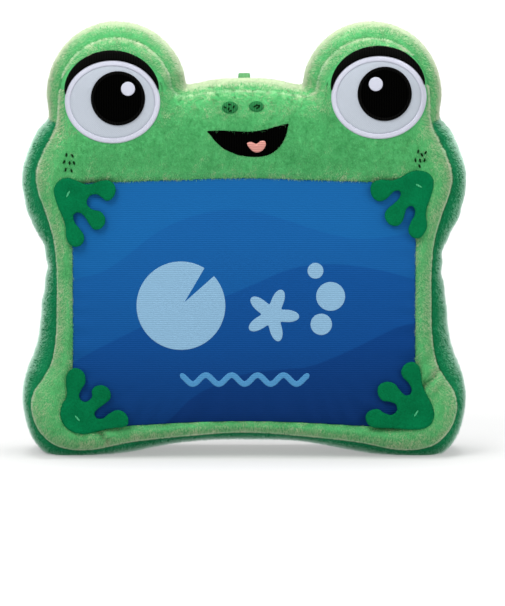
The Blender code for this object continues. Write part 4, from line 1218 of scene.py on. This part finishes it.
def make_lining():
    """Sleeve from the mouth up to a shut end: its lower edge follows the arch behind."""
    half, height, centre = ARCH
    turn = full_turn(160)
    across, back = np.cos(turn), np.sin(turn)
    shape = np.stack([np.sign(across) * np.abs(across) ** 0.25 * SLEEVE[0],
                      np.sign(back) * np.abs(back) ** 0.35 * SLEEVE[1]], 1)
    behind = np.clip((shape[:, 1] + 2) / 8, 0, 1)
    x = np.clip(shape[:, 0] / (half + 1.5), -1, 1)
    low = 9.8 * (1 - behind) + behind * (centre + (height + 1.2) * np.sqrt(1 - x ** 2))
    outer, inner = [], []
    for share in np.linspace(0, 1, 24):
        z = low + (SLEEVE_TOP - low) * share
        wrinkle = 0.3 * np.sin(z * 0.35 + shape[:, 0] * 0.08) * np.sin(math.pi * share)
        shut = 1 if share < 0.9 else 1 - 0.5 * ((share - 0.9) / 0.1) ** 2
        for rings, thin in ((outer, 0.0), (inner, 0.9)):
            flat = shape * (1 - (thin - wrinkle[:, None]) / SLEEVE) * (1, shut) + (0, 17.0)
            rings.append(np.stack([flat[:, 0], flat[:, 1], z - thin * (share > 0.95)], 1))
    sleeve = loft("pocket_lining", outer[::-1] + inner, LINING)
    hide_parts("pocket_lining_front", "pocket_lining_back")
    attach(sleeve, "root")


def make_loop():
    """Ribbon folded into a teardrop on the back seam of the head."""
    centre, root, radius, opening = np.array(LOOP_CENTRE), np.array(LOOP_ROOT), 3.65, 2.35
    lean = centre - root
    angle = math.atan2(lean[1], lean[0])
    turns = np.linspace(angle - opening, angle + opening, 60)
    line = np.stack([centre[0] + radius * np.cos(turns), centre[1] + radius * np.sin(turns)], 1)
    ends = root - unit(lean) * 1.2
    side = np.array((-lean[1], lean[0])) / np.linalg.norm(lean) * 0.5
    line = resample(np.concatenate([[ends - side], line, [ends + side]]), 90, closed=False)
    along = unit(np.gradient(line, axis=0))
    normal = np.stack([along[:, 1], -along[:, 0]], 1)
    fold = np.sin(np.linspace(0, math.pi, len(line))) ** 3
    top = [(-2.8, 0.25), (-2.6, 0.42), (0, 0.45), (2.6, 0.42), (2.8, 0.25)]
    rows = []
    for across, thick in (*top, *((across, -thick) for across, thick in reversed(top))):
        flat = line + normal * thick
        rows.append(np.stack([across * (1 - 0.16 * fold), flat[:, 0], flat[:, 1]], 1))
    loop = loft("ribbon_loop", rows, RIBBON, hollow=True, around=False)
    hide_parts("hanging_loop")
    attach(loop, "hanging_loop")


# ------------------------------------------------------------------ stage
def make_stage():
    """Pale floor, soft white world and three area lights."""
    bpy.context.scene.view_settings.view_transform = "Standard"
    material, tree, shader = shader_of("floor", 0.95)
    # The floor stays white where the lights fall off, and soft shadows show close by
    place = add(tree, "NewGeometry").outputs["Position"]
    far = add(tree, "VectorMath", {0: place}, operation="LENGTH").outputs["Value"]
    fill_in(shader, {"Base Color": (0.36, 0.36, 0.36, 1), "Emission Color": (1, 1, 1, 1),
                     "Emission Strength": remap(tree, far, 0.15, 1.2, 0.37, 0.9)})
    half = 12000
    floor = link("floor", [(-half, -half, 0), (half, -half, 0), (half, half, 0),
                           (-half, half, 0)], [(0, 1, 2, 3)], material)
    world = bpy.data.worlds.new("studio")
    bpy.context.scene.world = world
    world.use_nodes = True
    fill_in(world.node_tree.nodes["Background"], {"Color": (1, 1, 1, 1), "Strength": 0.68})
    target = Vector((0, 0, 0.09))
    for name, place, size, power in LIGHTS:
        data = bpy.data.lights.new(name, "AREA")
        data.size = size
        data.energy = power
        light = bpy.data.objects.new(name, data)
        light.location = place
        light.rotation_euler = (target - Vector(place)).to_track_quat("-Z", "Y").to_euler()
        bpy.context.scene.collection.objects.link(light)


def make_camera():
    """Long lens, a little above the puppet."""
    data = bpy.data.cameras.new("camera")
    data.sensor_fit = "VERTICAL"
    data.sensor_height = 24
    data.lens = data.sensor_height * CAMERA_DISTANCE / VIEW_HEIGHT
    data.clip_end = 50
    camera = bpy.data.objects.new("camera", data)
    tilt = math.radians(CAMERA_TILT)
    camera.location = AIM + CAMERA_DISTANCE * Vector((0, -math.cos(tilt), math.sin(tilt)))
    camera.rotation_euler = (math.radians(90) - tilt, 0, 0)
    bpy.context.scene.collection.objects.link(camera)
    bpy.context.scene.camera = camera


make_camera()
make_stage()
make_front()
make_screen()
make_gussets()
make_back()
make_face()
for name, (tack, ahead, outline) in HANDS.items():
    make_hand(name, tack, outline)
make_print()
make_binding()
make_lining()
make_loop()
for node in ("body_stuffing", "side_stuffing_left", "side_stuffing_right", "head_stuffing"):
    for material_slot in bpy.data.objects[node].material_slots:
        material_slot.material = FILL
